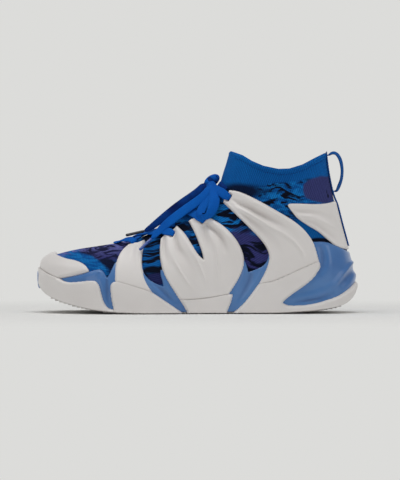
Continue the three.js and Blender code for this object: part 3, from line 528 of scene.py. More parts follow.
weave, given, result = effect(
    "plain_weave",
    [("Place", VECTOR, None), ("Along pitch", FLOAT, 1.2), ("Across pitch", FLOAT, 1.2)],
    [("Height", FLOAT), ("Thread", FLOAT)])
uv = node(weave, "ShaderNodeSeparateXYZ", {0: given["Place"]}).outputs
wave_u = sums(weave, "SINE", product(weave, sums(weave, "DIVIDE", uv[0], given["Across pitch"]), math.pi))
wave_v = sums(weave, "SINE", product(weave, sums(weave, "DIVIDE", uv[1], given["Along pitch"]), math.pi))
over = product(weave, wave_u, wave_v)
weave.links.new(sums(weave, "MULTIPLY_ADD", over, 0.5), result["Height"])
weave.links.new(smooth_step(weave, sums(weave, "ABSOLUTE", over), 0.05, 0.45), result["Thread"])

rib, given, result = effect(
    "rib_knit",
    [("Place", VECTOR, None), ("Wale", FLOAT, 1.9), ("Course", FLOAT, 1.5), ("Slant", FLOAT, 0.8)],
    [("Height", FLOAT), ("Yarn", FLOAT)])
uv = node(rib, "ShaderNodeSeparateXYZ", {0: given["Place"]}).outputs
wale = sums(rib, "PINGPONG", sums(rib, "DIVIDE", uv[0], given["Wale"]), 0.5)
slanted = sums(rib, "ADD", sums(rib, "DIVIDE", uv[1], given["Course"]), product(rib, wale, given["Slant"]))
course = sums(rib, "PINGPONG", slanted, 0.5)
body_of_yarn = product(rib, smooth_step(rib, wale, 0.0, 0.3), smooth_step(rib, course, 0.0, 0.32))
rib.links.new(body_of_yarn, result["Height"])
rib.links.new(smooth_step(rib, body_of_yarn, 0.05, 0.6), result["Yarn"])

skin_texture, given, result = effect(
    "moulded_skin",
    [("Place", VECTOR, None), ("Grain", FLOAT, 900.0), ("Cloud", FLOAT, 22.0)],
    [("Height", FLOAT), ("Cloudy", FLOAT)])
fine = noise(skin_texture, given["Place"], given["Grain"], 2.0)
broad = noise(skin_texture, given["Place"], given["Cloud"], 3.0)
skin_texture.links.new(fine, result["Height"])
skin_texture.links.new(smooth_step(skin_texture, broad, 0.3, 0.7), result["Cloudy"])

fold_shade_and_wear, given, result = effect(
    "fold_shade_and_edge_wear",
    [("Place", VECTOR, None), ("Edge", FLOAT, 0.0), ("Fold", FLOAT, 0.0), ("Amount", FLOAT, 0.5)],
    [("Mask", FLOAT)])
patchy = smooth_step(fold_shade_and_wear, noise(fold_shade_and_wear, given["Place"], 60.0, 4.0), 0.3, 0.75)
# Fold paints shade into the valleys of the folds; Edge darkens the edges as wear.
gathered = sums(fold_shade_and_wear, "MAXIMUM", smooth_step(fold_shade_and_wear, given["Edge"], 0.55, 1.0), given["Fold"])
mask = product(fold_shade_and_wear, gathered, sums(fold_shade_and_wear, "MULTIPLY_ADD", patchy, 0.6))
fold_shade_and_wear.links.new(product(fold_shade_and_wear, mask, given["Amount"]), result["Mask"])

zone, given, result = effect(
    "soft_zone",
    [("X", FLOAT, 0.0), ("Z", FLOAT, 0.0), ("Wobble", FLOAT, 0.0), ("Centre X", FLOAT, 0.0),
     ("Centre Z", FLOAT, 0.0), ("Reach X", FLOAT, 10.0), ("Reach Z", FLOAT, 10.0), ("Lean", FLOAT, 0.0),
     ("Soft", FLOAT, 0.2)],
    [("Mask", FLOAT)])
dx = sums(zone, "SUBTRACT", given["X"], given["Centre X"])
dz = sums(zone, "SUBTRACT", sums(zone, "SUBTRACT", given["Z"], given["Centre Z"]),
          product(zone, dx, given["Lean"]))
dx, dz = sums(zone, "DIVIDE", dx, given["Reach X"]), sums(zone, "DIVIDE", dz, given["Reach Z"])
far = sums(zone, "SQRT", sums(zone, "ADD", product(zone, dx, dx), product(zone, dz, dz)))
far = sums(zone, "ADD", far, given["Wobble"])
zone.links.new(
    smooth_step(zone, far, sums(zone, "ADD", given["Soft"], 1.0), sums(zone, "SUBTRACT", 1.0, given["Soft"])),
    result["Mask"])
print("effects:", [group.name for group in bpy.data.node_groups])

# %% [markdown]
# The knit's picture is made of soft zones: a plain royal collar, a cracked cyan ankle, an indigo patch
# at the heel, and wavy streaks of black, blue and indigo lower down. Noise bends every border, so
# the zones run into each other as they do in a jacquard knit.

# %% Materials
def start_material(name, **principled):
    material = bpy.data.materials.new(name)
    material.use_nodes = True
    shader = material.node_tree.nodes["Principled BSDF"]
    for key, value in principled.items():
        shader.inputs[key.replace("_", " ")].default_value = value
    tree = material.node_tree
    place = node(tree, "ShaderNodeTexCoord").outputs["Object"]
    return material, tree, shader, place


def pattern_place(tree):
    return node(tree, "ShaderNodeUVMap", uv_map="pattern").outputs["UV"]


def vertex_value(tree, name):
    return node(tree, "ShaderNodeAttribute", attribute_name=name).outputs["Fac"]


def bump(tree, shader, height, strength, distance):
    made = node(tree, "ShaderNodeBump", {"Height": height, "Strength": strength, "Distance": distance})
    tree.links.new(made.outputs[0], shader.inputs["Normal"])


def moulded(name, colour, shade_wear_colour, cloud_colour, roughness, coat, amount, grain=1400.0):
    """A satin moulding: clouded colour, painted shade in its folds with wear along its edges, and a faint
    skin.
    """
    material, tree, shader, place = start_material(name, Coat_Weight=coat, Coat_Roughness=0.16)
    surface = use(tree, skin_texture, Place=place, Grain=grain, Cloud=26.0)
    shade_and_wear = use(tree, fold_shade_and_wear, Place=place, Edge=vertex_value(tree, "edge"), Fold=vertex_value(tree, "fold"),
               Amount=amount)["Mask"]
    clouded = blend_colours(tree, surface["Cloudy"], colour, cloud_colour)
    tree.links.new(blend_colours(tree, shade_and_wear, clouded, shade_wear_colour), shader.inputs["Base Color"])
    rough = sums(tree, "ADD", sums(tree, "MULTIPLY_ADD", surface["Cloudy"], 0.1), roughness - 0.5)
    rough = sums(tree, "ADD", rough, product(tree, shade_and_wear, 0.2))
    tree.links.new(rough, shader.inputs["Roughness"])
    bump(tree, shader, surface["Height"], 0.12, 0.0002)
    return material


# The third colour is painted shade in the valleys of the folds and wear along the edges.
white_shell = moulded("white_shell", (0.79, 0.758, 0.742), (0.44, 0.4, 0.385), (0.82, 0.79, 0.775), 0.44,
                      0.1, 0.5)
# The same for the cage: painted shade in its hollows and wear along its edges.
cage_blue = moulded("cage_blue", (0.04, 0.16, 0.44), (0.008, 0.045, 0.19), (0.062, 0.205, 0.5), 0.3, 0.75,
                    0.8)


def cloth(name, colour, shade, along, across, sheen=0.0, depth=0.0003, back=None):
    """Woven cloth: the threads show in height and colour, with a little loose fibre."""
    material, tree, shader, place = start_material(name, Roughness=0.9, Sheen_Weight=sheen,
        Specular_IOR_Level=0.12)
    threads = use(tree, weave, Place=pattern_place(tree), Along_pitch=along, Across_pitch=across)
    fibres = noise(tree, place, 1600.0, 3.0)
    base = blend_colours(tree, threads["Thread"], shade, colour)
    if back is not None:
        base = blend_colours(tree, smooth_step(tree, vertex_value(tree, "back"), 0.35, 0.65), base, back)
    base = blend_colours(tree, smooth_step(tree, noise(tree, place, 45.0, 3.0), 0.35, 0.7, 0.0, 0.5), base,
                         shade)
    tree.links.new(base, shader.inputs["Base Color"])
    height = sums(tree, "ADD", threads["Height"], product(tree, fibres, 0.1))
    bump(tree, shader, height, 0.55, depth)
    return material


lace_cloth = cloth("lace", (0.003, 0.135, 0.56), (0.002, 0.075, 0.38), 0.9, 0.8, back=(0.0006, 0.006, 0.08))
webbing_cloth = cloth("webbing", (0.012, 0.12, 0.42), (0.004, 0.045, 0.2), 0.8, 1.3, depth=0.0004)
lining_cloth = cloth("lining", (0.012, 0.03, 0.09), (0.006, 0.014, 0.045), 1.1, 1.1, sheen=0.1)
board_cloth = cloth("board", (0.62, 0.59, 0.53), (0.4, 0.38, 0.34), 1.4, 1.4)
insole_cloth = cloth("insole", (0.014, 0.035, 0.1), (0.007, 0.018, 0.055), 1.0, 1.0, sheen=0.1)


def knit_picture(tree, place):
    """The jacquard picture of the bootie, with a painted shade at the front of the ankle, as one colour
    output.
    """
    xyz = node(tree, "ShaderNodeSeparateXYZ", {0: place}).outputs
    x, z = product(tree, xyz[0], 1000.0), product(tree, xyz[2], 1000.0)
    wander = noise(tree, place, 38.0, 3.0)
    wobble = product(tree, sums(tree, "SUBTRACT", wander, 0.5), 1.1)
    bent_z = sums(tree, "ADD", z, product(tree, sums(tree, "SUBTRACT", noise(tree, place, 30.0, 2.0), 0.5),
                                          22.0))

    def streaks(x_rate, z_rate, seed, low, high, detail=3.0):
        where = node(tree, "ShaderNodeCombineXYZ", {
            0: product(tree, x, x_rate), 1: seed, 2: product(tree, bent_z, z_rate)}).outputs[0]
        return smooth_step(tree, noise(tree, where, 1.0, detail, 0.6, 0.6), low, high)

    def soft_zone(centre, reach, lean=0.0, soft=0.18):
        return use(tree, zone, X=x, Z=z, Wobble=wobble, Centre_X=centre[0], Centre_Z=centre[1],
                   Reach_X=reach[0], Reach_Z=reach[1], Lean=lean, Soft=soft)["Mask"]

    black, royal, cyan = (0.0035, 0.006, 0.018), (0.004, 0.098, 0.37), (0.008, 0.2, 0.62)
    indigo, lilac, deep = (0.045, 0.05, 0.2), (0.17, 0.185, 0.5), (0.012, 0.014, 0.06)
    broad, thin = streaks(0.035, 0.17, 3.0, 0.46, 0.55), streaks(0.06, 0.36, 8.0, 0.44, 0.58)
    colour = blend_colours(tree, broad, black, royal)
    colour = blend_colours(tree, product(tree, broad, streaks(0.05, 0.25, 17.0, 0.5, 0.6)), colour, cyan)

    lower = soft_zone((40, 54), (38, 25))
    colour = blend_colours(tree, lower, colour,
                           blend_colours(tree, streaks(0.03, 0.15, 5.0, 0.47, 0.58), black, indigo))
    upper_gap = soft_zone((24, 90), (16, 13))
    colour = blend_colours(tree, product(tree, upper_gap, broad), colour, cyan)

    instep = soft_zone((-44, 58), (14, 22))
    bands = blend_colours(tree, streaks(0.025, 0.2, 11.0, 0.45, 0.53), black, (0.006, 0.14, 0.48))
    colour = blend_colours(tree, instep, colour, bands)
    colour = blend_colours(tree, soft_zone((-38, 33), (12, 7)), colour, (0.022, 0.028, 0.12))
    colour = blend_colours(tree, soft_zone((-43, 42), (11, 4), soft=0.3), colour, black)

    vamp = soft_zone((-92, 60), (36, 14), lean=0.22)
    waves = blend_colours(tree, thin, deep, indigo)
    waves = blend_colours(tree, product(tree, thin, smooth_step(tree, z, 52.0, 66.0)), waves, lilac)
    colour = blend_colours(tree, vamp, colour, waves)
    colour = blend_colours(tree, soft_zone((-87, 45), (12, 7)), colour, (0.006, 0.012, 0.045))
    colour = blend_colours(tree, soft_zone((-110, 50), (26, 8.5), lean=-0.42), colour,
                           blend_colours(tree, thin, royal, (0.008, 0.19, 0.56)))
    edging = product(tree, soft_zone((-126, 58.5), (15, 4.5), lean=0.25, soft=0.4),
                     streaks(0.09, 0.3, 37.0, 0.42, 0.62))
    colour = blend_colours(tree, edging, colour, lilac)

    patches = product(tree, streaks(0.05, 0.16, 23.0, 0.42, 0.47, 4.0),
                      streaks(0.14, 0.3, 31.0, 0.36, 0.42, 4.0))
    bright_cyan = blend_colours(tree, streaks(0.09, 0.22, 41.0, 0.4, 0.6), royal, (0.008, 0.21, 0.63))
    cracked = blend_colours(tree, patches, black, bright_cyan)
    ankle = soft_zone((78, 112), (36, 19), lean=-0.05)
    colour = blend_colours(tree, ankle, colour, cracked)
    heel = soft_zone((119, 118), (17, 13.5), soft=0.1)
    spots = smooth_step(tree, noise(tree, place, 95.0, 1.0), 0.63, 0.67)
    colour = blend_colours(tree, heel, colour, blend_colours(tree, spots, (0.05, 0.058, 0.2), black))
    colour = blend_colours(tree, soft_zone((110, 80), (20, 13)), colour, (0.005, 0.125, 0.42))
    colour = blend_colours(tree, soft_zone((113, 68), (20, 3.0), soft=0.3), colour, black)

    collar_line = sums(tree, "SUBTRACT", sums(tree, "SUBTRACT", z, 111.5), product(tree, x, 0.15))
    collar_line = sums(tree, "ADD", collar_line, product(tree, wobble, 5.0))
    collar = smooth_step(tree, collar_line, -1.5, 1.5)
    front_shade = soft_zone((43, 116), (20, 6.5), soft=0.45)
    plain = blend_colours(tree, smooth_step(tree, noise(tree, place, 14.0, 2.0), 0.3, 0.7),
                          (0.0035, 0.1, 0.38), (0.006, 0.165, 0.55))
    colour = blend_colours(tree, collar, colour, plain)
    return blend_colours(tree, front_shade, colour, (0.003, 0.012, 0.05))


bootie_knit, tree, shader, place = start_material("bootie_knit", Roughness=0.95, Specular_IOR_Level=0.1)
yarn = use(tree, rib, Place=pattern_place(tree), Wale=1.9, Course=1.5, Slant=0.9)
picture = knit_picture(tree, place)
darker = node(tree, "ShaderNodeMix", {"Factor": 1.0}, data_type="RGBA", blend_type="MULTIPLY")
tree.links.new(picture, darker.inputs[6])
tree.links.new(blend_colours(tree, yarn["Yarn"], (0.5, 0.5, 0.56), (1.12, 1.12, 1.1)), darker.inputs[7])
tree.links.new(darker.outputs[2], shader.inputs["Base Color"])
fuzz = noise(tree, place, 1500.0, 2.0)
bump(tree, shader, sums(tree, "ADD", yarn["Height"], product(tree, fuzz, 0.25)), 0.6, 0.0005)

outsole_rubber = moulded("outsole_rubber", (0.66, 0.635, 0.615), (0.26, 0.24, 0.225), (0.7, 0.675, 0.655),
                         0.7, 0.0, 0.5)
foam = moulded("foam", (0.72, 0.7, 0.67), (0.5, 0.48, 0.45), (0.76, 0.74, 0.71), 0.75, 0.0, 0.4, grain=500.0)
shank_finish = moulded("shank", (0.02, 0.022, 0.027), (0.01, 0.011, 0.013), (0.028, 0.03, 0.035), 0.35, 0.3,
                       0.3)
aglet_plastic = moulded("aglet", (0.01, 0.06, 0.32), (0.006, 0.02, 0.12), (0.016, 0.08, 0.38), 0.24, 0.5, 0.3)
aglet_dark = moulded("aglet_dark", (0.006, 0.008, 0.02), (0.3, 0.3, 0.32), (0.012, 0.015, 0.03), 0.2, 0.6,
                     0.3)
stitch_thread = cloth("stitch_thread", (0.006, 0.09, 0.4), (0.003, 0.04, 0.2), 0.5, 0.5, depth=0.0001)
print("materials:", len(bpy.data.materials))

# %% [markdown]
# ## Laces and bow
# A flat lace is one band swept along listed points. It crosses the throat from panel to panel,
# passes over or under its partner on the ridge, and dives through a slot in each panel's tip. Its
# two free ends and the two loops of the bow are cords that hang from the knot.
# A face direction at each point says how the band turns, so a strand can stand on its edge.

# %% Sweeping a band
LACE_WIDTH, LACE_THICK = 8.0, 1.5
turn = np.linspace(0, 2 * math.pi, 16, endpoint=False) + math.pi / 16
SECTION = np.column_stack([signed_power(np.cos(turn), 0.4), signed_power(np.sin(turn), 0.8)])


def smooth_run(points, steps=8):
    """A Catmull-Rom curve through rows of numbers."""
    points = np.array(points, float)
    if len(points) == 2:
        return points
    padded = np.concatenate([points[:1], points, points[-1:]])
    p0, p1, p2, p3 = (padded[i:len(padded) - 3 + i] for i in range(4))
    out = []
    for t in np.linspace(0, 1, steps, endpoint=False):
        v0, v1 = (p2 - p0) / 2, (p3 - p1) / 2
        out.append((2 * p1 - 2 * p2 + v0 + v1) * t**3 + (3 * p2 - 3 * p1 - 2 * v0 - v1) * t**2 + v0 * t + p1)
    return np.concatenate([np.stack(out, axis=1).reshape(-1, points.shape[1]), points[-1:]])


def band(name, points, faces, finish, slot, body="shoe", width=LACE_WIDTH, thick=LACE_THICK, tapers=(0, 0),
         cup=0.3, back=0.0, steps=6, nodes=None):
    """A closed flat band. tapers round off its ends over that length, cup bends its edges inwards, and back
    is how much of the dark back colour shows, which also serves as painted shade: 0 none, 1 all, -1 only the
    side away from its face."""
    widths = np.broadcast_to(np.asarray(width, float), len(points))
    rows = smooth_run(np.column_stack([points, faces, widths]), steps)
    path, face, wide = rows[:, :3], rows[:, 3:6], rows[:, 6]
    ahead = unit(np.gradient(path, axis=0))
    face = unit(face - ahead * (face * ahead).sum(axis=1, keepdims=True))
    across = np.cross(ahead, face)
    along = np.concatenate([[0], np.cumsum(np.linalg.norm(np.diff(path, axis=0), axis=1))])
    for reach, left in ((tapers[0], along), (tapers[1], along[-1] - along)):
        if reach:
            wide = wide * np.sqrt(np.clip(1 - (1 - np.clip(left / reach, 0, 1)) ** 2, 0.09, 1))
    u, w = SECTION[:, 0], SECTION[:, 1]
    verts = (path[:, None] + across[:, None] * (u[:, None] * wide[:, None, None] / 2)
             + face[:, None] * ((w * thick / 2 - cup * u * u)[:, None]))
    n, m = len(path), len(u)
    verts = np.concatenate([verts.reshape(-1, 3), path[:1], path[-1:]])
    piece = link(name, verts, tube_faces(n, m)[:, ::-1])
    pattern = np.stack([np.broadcast_to(u * LACE_WIDTH / 2, (n, m)),
                        np.broadcast_to(along[:, None], (n, m))], -1)
    put_pattern_map(piece, np.concatenate([pattern.reshape(-1, 2), [[0, 0], [0, along[-1]]]]))
    dark = np.broadcast_to(np.where(w < 0, 1.0, 0.0) if back < 0 else np.full(m, back), (n, m)).reshape(-1)
    put_attribute(piece, "back", np.concatenate([dark, dark[:1], dark[-1:]]))
    settle(piece, finish, slot, *(nodes or [name]), body=body)
    return piece, path * MM


# %% Where the lace rows sit
ROWS = [  # the slot in a panel's tip, and the edge that the other strand comes out from
    ((7.85, 0.16), (7.75, 0.085)), ((10.05, 0.255), (10.05, 0.185)),
    ((11.65, 0.275), (11.65, 0.222)), ((14.35, 0.21), (14.8, 0.155)),
]
KNIT, CAGE, UPPER_PANEL, SIDEWALL, HEEL_WING = 2.0, 1.8, 3.6, 4.8, 2.0
UNDER = 1.35  # how high the middle of a strand lies on the bootie
OVER = UNDER + 1.8  # and where it crosses another strand
RIDE = UPPER_PANEL + UNDER  # and on a white panel


def spot_point(spot, lift):
    station, across = spot
    return off_last(station, abs(across), LATERAL if across < 0 else MEDIAL, lift)


def spot_normal(spot):
    station, across = spot
    return last_normal(station, abs(across), LATERAL if across < 0 else MEDIAL)


def mix_spots(first, second, t):
    return tuple(a + (b - a) * t for a, b in zip(first, second))


def eyelet(row, side, source):
    """A slot's place, outward way, and the way the lace travels as it arrives from source."""
    station, across = ROWS[row][0]
    spot = (station, side * across)
    out = spot_normal(spot)
    travel = spot_point(spot, 0) - spot_point(mix_spots(source, spot, 0.85), 0)
    return spot, out, unit(travel - out * (travel @ out)), spot_point(spot, 0)


def arrives_from(row, side):
    if row == 0:
        return (7, side * 0.05)
    station, across = ROWS[row - 1][1]
    return (station, -side * across)


def slots(side, *rows):
    made = []
    for row in rows:
        _, out, travel, centre = eyelet(row, side, arrives_from(row, side))
        made.append((centre + out * 3.0 + travel * 0.3, travel, out, 1.1, 2.9))
    return made


def dive(out, travel, centre):
    """The last points of a strand: over the panel's tip and down into its slot."""
    places = [(-3.6, RIDE), (-1.4, RIDE), (0.5, RIDE - 0.7), (1.1, RIDE - 1.9), (0.9, UNDER + 0.2)]
    looks = [(0, 1), (0.3, 1), (1, 0.8), (1, 0.15), (1, 0)]
    return ([centre + travel * a + out * up for a, up in places], [travel * a + out * up for a, up in looks])


def crossing(row, side, meeting):
    start = (ROWS[row][1][0], -side * ROWS[row][1][1])
    goal = eyelet(row + 1, side, start)
    whole = ROWS[row][1][1] + ROWS[row + 1][0][1]
    ridge, edge = ROWS[row][1][1] / whole, (ROWS[row][1][1] + ROWS[row + 1][1][1]) / whole
    clear = OVER + 0.8 if row == len(ROWS) - 2 else OVER
    lift = through([(0, UNDER), (max(0.1, ridge - 0.16), meeting), (ridge, meeting), (ridge + 0.12, meeting),
                    (ridge + 0.2, clear), (edge - 0.05, clear), (edge + 0.03, RIDE + 0.3)])
    shares = [i * (edge + 0.03) / 10 for i in range(11)]
    spots = [mix_spots(start, goal[0], share) for share in shares]
    points, faces = dive(*goal[1:])
    return ([spot_point(spot, float(lift(share))) for spot, share in zip(spots, shares)] + points,
            [spot_normal(spot) for spot in spots] + faces)


# %% Strands over the throat
for row in range(len(ROWS) - 1):
    for word, side, meeting in (("lateral", LATERAL, OVER), ("medial", MEDIAL, UNDER)):
        points, faces = crossing(row, side, meeting)
        band(f"lace_{row + 1}_to_{word}", points, faces, lace_cloth, "lace",
             width=[LACE_WIDTH + 0.4] * (len(points) - 5) + [8.2, 7.4, 6.2, 5.4, 4.6])
bar = {}
for side in (LATERAL, MEDIAL):
    points, faces = dive(*eyelet(0, side, (7, side * 0.05))[1:])
    spots = [(7.36, side * 0.11), (7.12, side * 0.07), (7.0, side * 0.03)]
    lifts = [OVER + 1.2, UNDER + 0.3, UNDER]
    bar[side] = (points[::-1] + [spot_point(s, v) for s, v in zip(spots, lifts)],
                 faces[::-1] + [spot_normal(s) for s in spots])
band("lace_front_bar", bar[LATERAL][0] + bar[MEDIAL][0][::-1], bar[LATERAL][1] + bar[MEDIAL][1][::-1],
     lace_cloth, "lace")
# Painted shade: the top strands take the lace's dark colour almost all over, where they run under the panels
# by the knot.
for word, side in (("lateral", LATERAL), ("medial", MEDIAL)):
    spots = [(14.8, side * a) for a in (0.155, 0.12, 0.09, 0.062)]
    lifts = [UNDER, UNDER, UNDER, UNDER + 0.3]
    band(f"lace_top_{word}", [spot_point(s, v) for s, v in zip(spots, lifts)],
         [spot_normal(s) for s in spots],
         lace_cloth, "lace", width=5.6, back=0.8)

# %% Knot
def knot_shape(name, centre, out, radii, wraps):
    """Three turns of lace drawn tight: a ball with a ridge along each turn, and painted shade in the grooves.
    """
    rows, columns = 30, 48
    theta, phi = np.meshgrid(np.linspace(0, math.pi, rows),
                             np.linspace(0, 2 * math.pi, columns, endpoint=False), indexing="ij")
    way = np.stack([np.sin(theta) * np.cos(phi), np.sin(theta) * np.sin(phi), np.cos(theta)],
                   -1).reshape(-1, 3)
    bumps = np.stack([np.exp(-(((way @ unit(pole) - shift) / 0.3) ** 4)) for pole, shift in wraps])
    size = 0.8 + 0.24 * bumps.max(axis=0)  # smaller between the ridges than on them
    sideways = np.array([0.0, 1.0, 0.0])
    basis = np.stack([np.cross(sideways, out), sideways, out])
    verts = centre + (way * size[:, None] * radii) @ basis
    ridges = bumps.max(axis=0)
    triangles, kept = compact(ball_faces(rows, columns), np.column_stack([verts, ridges, way * radii]))
    piece = link(name, kept[:, :3], triangles)
    put_pattern_map(piece, kept[:, 4:6])
    # Painted shade: the lace's dark colour fills the grooves between the ridges.
    put_attribute(piece, "back", np.clip(1.2 - 1.6 * kept[:, 3], 0, 1))
    settle(piece, lace_cloth, "lace", name)


knot_out = last_normal(14, 0, LATERAL)
knot_centre = off_last(14, 0, LATERAL, OVER + UNDER + 2.4)
knot_shape("lace_knot", knot_centre, knot_out, np.array([8.2, 7.2, 5.0]), [
    ((1.0, 0.15, 0.1), 0.42), ((1.0, -0.2, 0.1), -0.42), ((0.25, 1.0, 0.1), 0.1)])

# %% Bow loops and free ends
BOW = [  # x, y, z of the loop beside the shoe: down in front, round, and up behind
    (12.4, -7.5, 124.4), (14.0, -13.5, 121.8), (15.6, -21, 117.2), (16.2, -28.5, 110.5), (15.4, -34.4, 103),
    (13.0, -37.8, 96.6), (9.8, -39.0, 92.4), (5.6, -38.8, 90.9), (2.6, -37.2, 92.6), (3.2, -34.0, 97.2),
    (6.0, -30.4, 103), (8.2, -25.8, 109), (9.4, -20.0, 114.8), (10.4, -13.9, 119.2), (11.0, -8.6, 122.4),
]
BOW_LOOKS = [
    (-0.3, -0.4, 0.9), (0.0, -0.55, 0.8), (0.1, -0.7, 0.65), (0.15, -0.85, 0.4), (0.2, -0.95, 0.15),
    (0.3, -0.9, -0.2), (0.25, -0.8, -0.6), (0.0, -0.7, -0.8), (-0.3, -0.8, -0.5), (-0.5, -0.85, 0.0),
    (-0.55, -0.8, 0.3), (-0.5, -0.7, 0.5), (-0.45, -0.6, 0.65), (-0.45, -0.5, 0.75), (-0.45, -0.4, 0.8),
]
RIDGE_Y = -2.1
for word, side in (("lateral", LATERAL), ("medial", MEDIAL)):
    points = [(x, y if side < 0 else 2 * RIDGE_Y - y, z) for x, y, z in BOW]
    looks = [(x, y * -side, z) for x, y, z in BOW_LOOKS]
    loop, path = band(f"bow_loop_{word}", points, np.array(looks) * 1.0, lace_cloth, "lace", back=-1,
                      cup=0.5, steps=8,
                      width=[7, 8, 9.4, 10.2, 10.2, 9.6, 8.6, 8, 8.6, 9.8, 10.4, 10.2, 9, 8, 7])

TAIL = [  # station, share across on the lateral side, height
    (13.35, 0.085, 6.8), (13.0, 0.115, 6.9), (12.6, 0.138, 7.1), (12.15, 0.153, 7.3), (11.6, 0.163, 7.4),
    (11.05, 0.17, 7.5), (10.5, 0.177, 7.6), (10.05, 0.184, 7.6), (9.65, 0.195, 7.2), (9.25, 0.212, 6.6),
    (8.95, 0.228, 6.2),
]
TAIL_TIP = (8.1, 0.31, 7.2)
EDGE_TAIL = [
    (13.05, 0.04, 8.4), (12.75, 0.065, 8.2), (12.3, 0.082, 7.8), (11.8, 0.088, 7.6), (11.3, 0.09, 7.6),
    (10.8, 0.091, 7.6), (10.3, 0.093, 7.6), (9.8, 0.097, 7.5), (9.35, 0.1, 7.4), (8.95, 0.102, 7.2),
    (8.6, 0.102, 6.8),
]
EDGE_TIP = (7.5, 0.095, 7.4)
AGLET_RADIUS, AGLET_LENGTH = 1.35, 18.0


def rod(name, start, along, finish):
    """An aglet: a plastic sheath, rounded at both ends."""
    profile = [(0, 0), (0, 0.7), (0.25, 0.93), (0.8, 1), (AGLET_LENGTH - 1.4, 1), (AGLET_LENGTH - 0.6, 0.86),
               (AGLET_LENGTH - 0.1, 0.5), (AGLET_LENGTH, 0)]
    columns = 20
    side_way = unit(np.cross(along, (0, 0, 1)))
    up_way = np.cross(side_way, along)
    turn = np.linspace(0, 2 * math.pi, columns, endpoint=False)
    ring = np.cos(turn)[:, None] * side_way + np.sin(turn)[:, None] * up_way
    verts = np.concatenate([start + along * a + ring * r * AGLET_RADIUS for a, r in profile])
    triangles, kept = compact(ball_faces(len(profile), columns), verts)
    piece = link(name, kept, triangles[:, ::-1])
    put_pattern_map(piece, np.zeros((len(kept), 2)))
    settle(piece, finish, "aglet", name)
    return piece


for word, rows, tip, look, finish, dark in (
        ("lateral", TAIL, TAIL_TIP, (-0.3, -0.86, 0.4), aglet_plastic, 0.0),
        ("medial", EDGE_TAIL, EDGE_TIP, (0, -1, 0.55), aglet_dark, 0.85)):
    places = [(station, -across) for station, across, _ in rows]
    points = [spot_point(place, lift) for place, (_, _, lift) in zip(places, rows)]
    looks = [np.array(look, float)] * len(places)
    tail, path = band(f"lace_tail_{word}", points, looks, lace_cloth, "lace", back=dark, tapers=(4, 5),
                      cup=0.4,
                      width=[7, 8.2, 9, 9.4, 9.6, 9.6, 9.4, 8.8, 7.6, 5.6, 4.0] if look[2] < 0.5 else [6, 7,
                          7.8, 8, 8, 8, 8, 7.6, 6.6, 5.2, 4.0])
    goal = spot_point((tip[0], -tip[1]), tip[2])
    sheath = rod(f"aglet_{word}", path[-1] / MM, unit(goal - path[-1] / MM), finish)

# %% [markdown]
# ## Lines that several pieces share
# Neighbouring pieces must meet on the same line, so each line is drawn once. A run is one smooth
# curve, and two runs meet in a corner. A run marked as a seam is where two mouldings touch; the
# others are open edges, which are rounder.

# %% Side-view lines, in millimetres
sole_curve = through([
    (-156, 37), (-152, 30), (-147, 21), (-140, 15.6), (-130, 11.3), (-120, 8.3), (-110, 5.8), (-100, 3.8),
    (-90, 2.3), (-80, 1.2), (-60, 0.2), (-45, 0), (60, 0), (75, 0.3), (95, 1.3), (115, 3), (130, 5.4),
    (140, 9), (147, 15.5), (151, 24), (156, 36)])
footbed = through([
    (-156, 33), (-140, 27), (-120, 20.5), (-100, 17), (-80, 15), (-50, 14.5), (0, 17.5), (50, 21), (90, 23.5),
    (156, 26)])


def sole_line(x):
    return np.maximum(0, sole_curve(x))


def wall(*places):
    """The lower edge of the sidewalls."""
    return [(x, float(sole_line(x)) + 1) for x in places]


OPEN, TOUCH = "open", "touch"
toe_crease = [(-157, 47), (-150, 42.5), (-144, 38.8), (-138, 36), (-131, 33.5)]
cage_front_top = [(-131, 33.5), (-120, 36), (-110, 38.5), (-102.5, 41)]
strap_front = [(-77.5, 31), (-78, 38), (-77.6, 45), (-76.3, 51), (-74, 57), (-70.5, 62), (-66, 65.6)]
strap_back = [(-50, 70.6), (-51.3, 65), (-52.3, 58), (-52.4, 50), (-51.4, 42), (-49, 33), (-45.5, 26),
              (-42, 20.5)]
strap_foot = [(-42, 20.5), (-51, 23.6), (-60, 26.4), (-70, 29.3), (-77.5, 31)]
wing_front = [(-17, 13.6), (-21, 20), (-26, 28), (-31, 37), (-34, 46), (-35.6, 55), (-36, 64), (-35.5, 71)]
wing_back = [(13, 90.5), (22, 85), (30, 78), (37, 69.5), (42, 60), (43.9, 51), (43, 43), (39.5, 34.5),
             (34.5, 26), (30, 19)]
wing_foot = [(30, 19), (20, 17), (10, 15.3), (0, 14.2), (-9, 13.8), (-17, 13.6)]
blade_front = [(57.5, 28.5), (63, 38.5), (66.6, 48), (67.4, 55), (64.6, 63), (57, 73), (43, 87),
               (23.8, 105.5)]
blade_back = [(30, 117), (40, 115), (55, 108.4), (75, 97.3), (92, 87), (103, 77.3), (110, 66.5), (115, 50)]
blade_foot = [(115, 50), (100, 43.5), (85, 36.7), (71, 30.8), (57.5, 28.5)]
heel_cup_edge = [(115, 50), (116, 46), (114.5, 41.5), (109, 33.5), (100, 26), (90, 19), (83, 13.5),
                 (80.5, 10.5)]
rim_x = [0, 20, 31, 35, 42, 51, 62, 76, 88, 101, 112, 123, 150]
rim_z = [158, 158, 154, 152.6, 150, 144.5, 139.8, 136.8, 137.2, 141.2, 147, 152.5, 160]
SEAM_GAP = 0.05

# %% [markdown]
# ## The knit bootie and its lining
# The bootie is one sock from toe to ankle. Its rim is a turned-over welt, so the wall swells there
# into a soft roll. Inside sits a padded lining that also hides the heel counter and the toe puff.

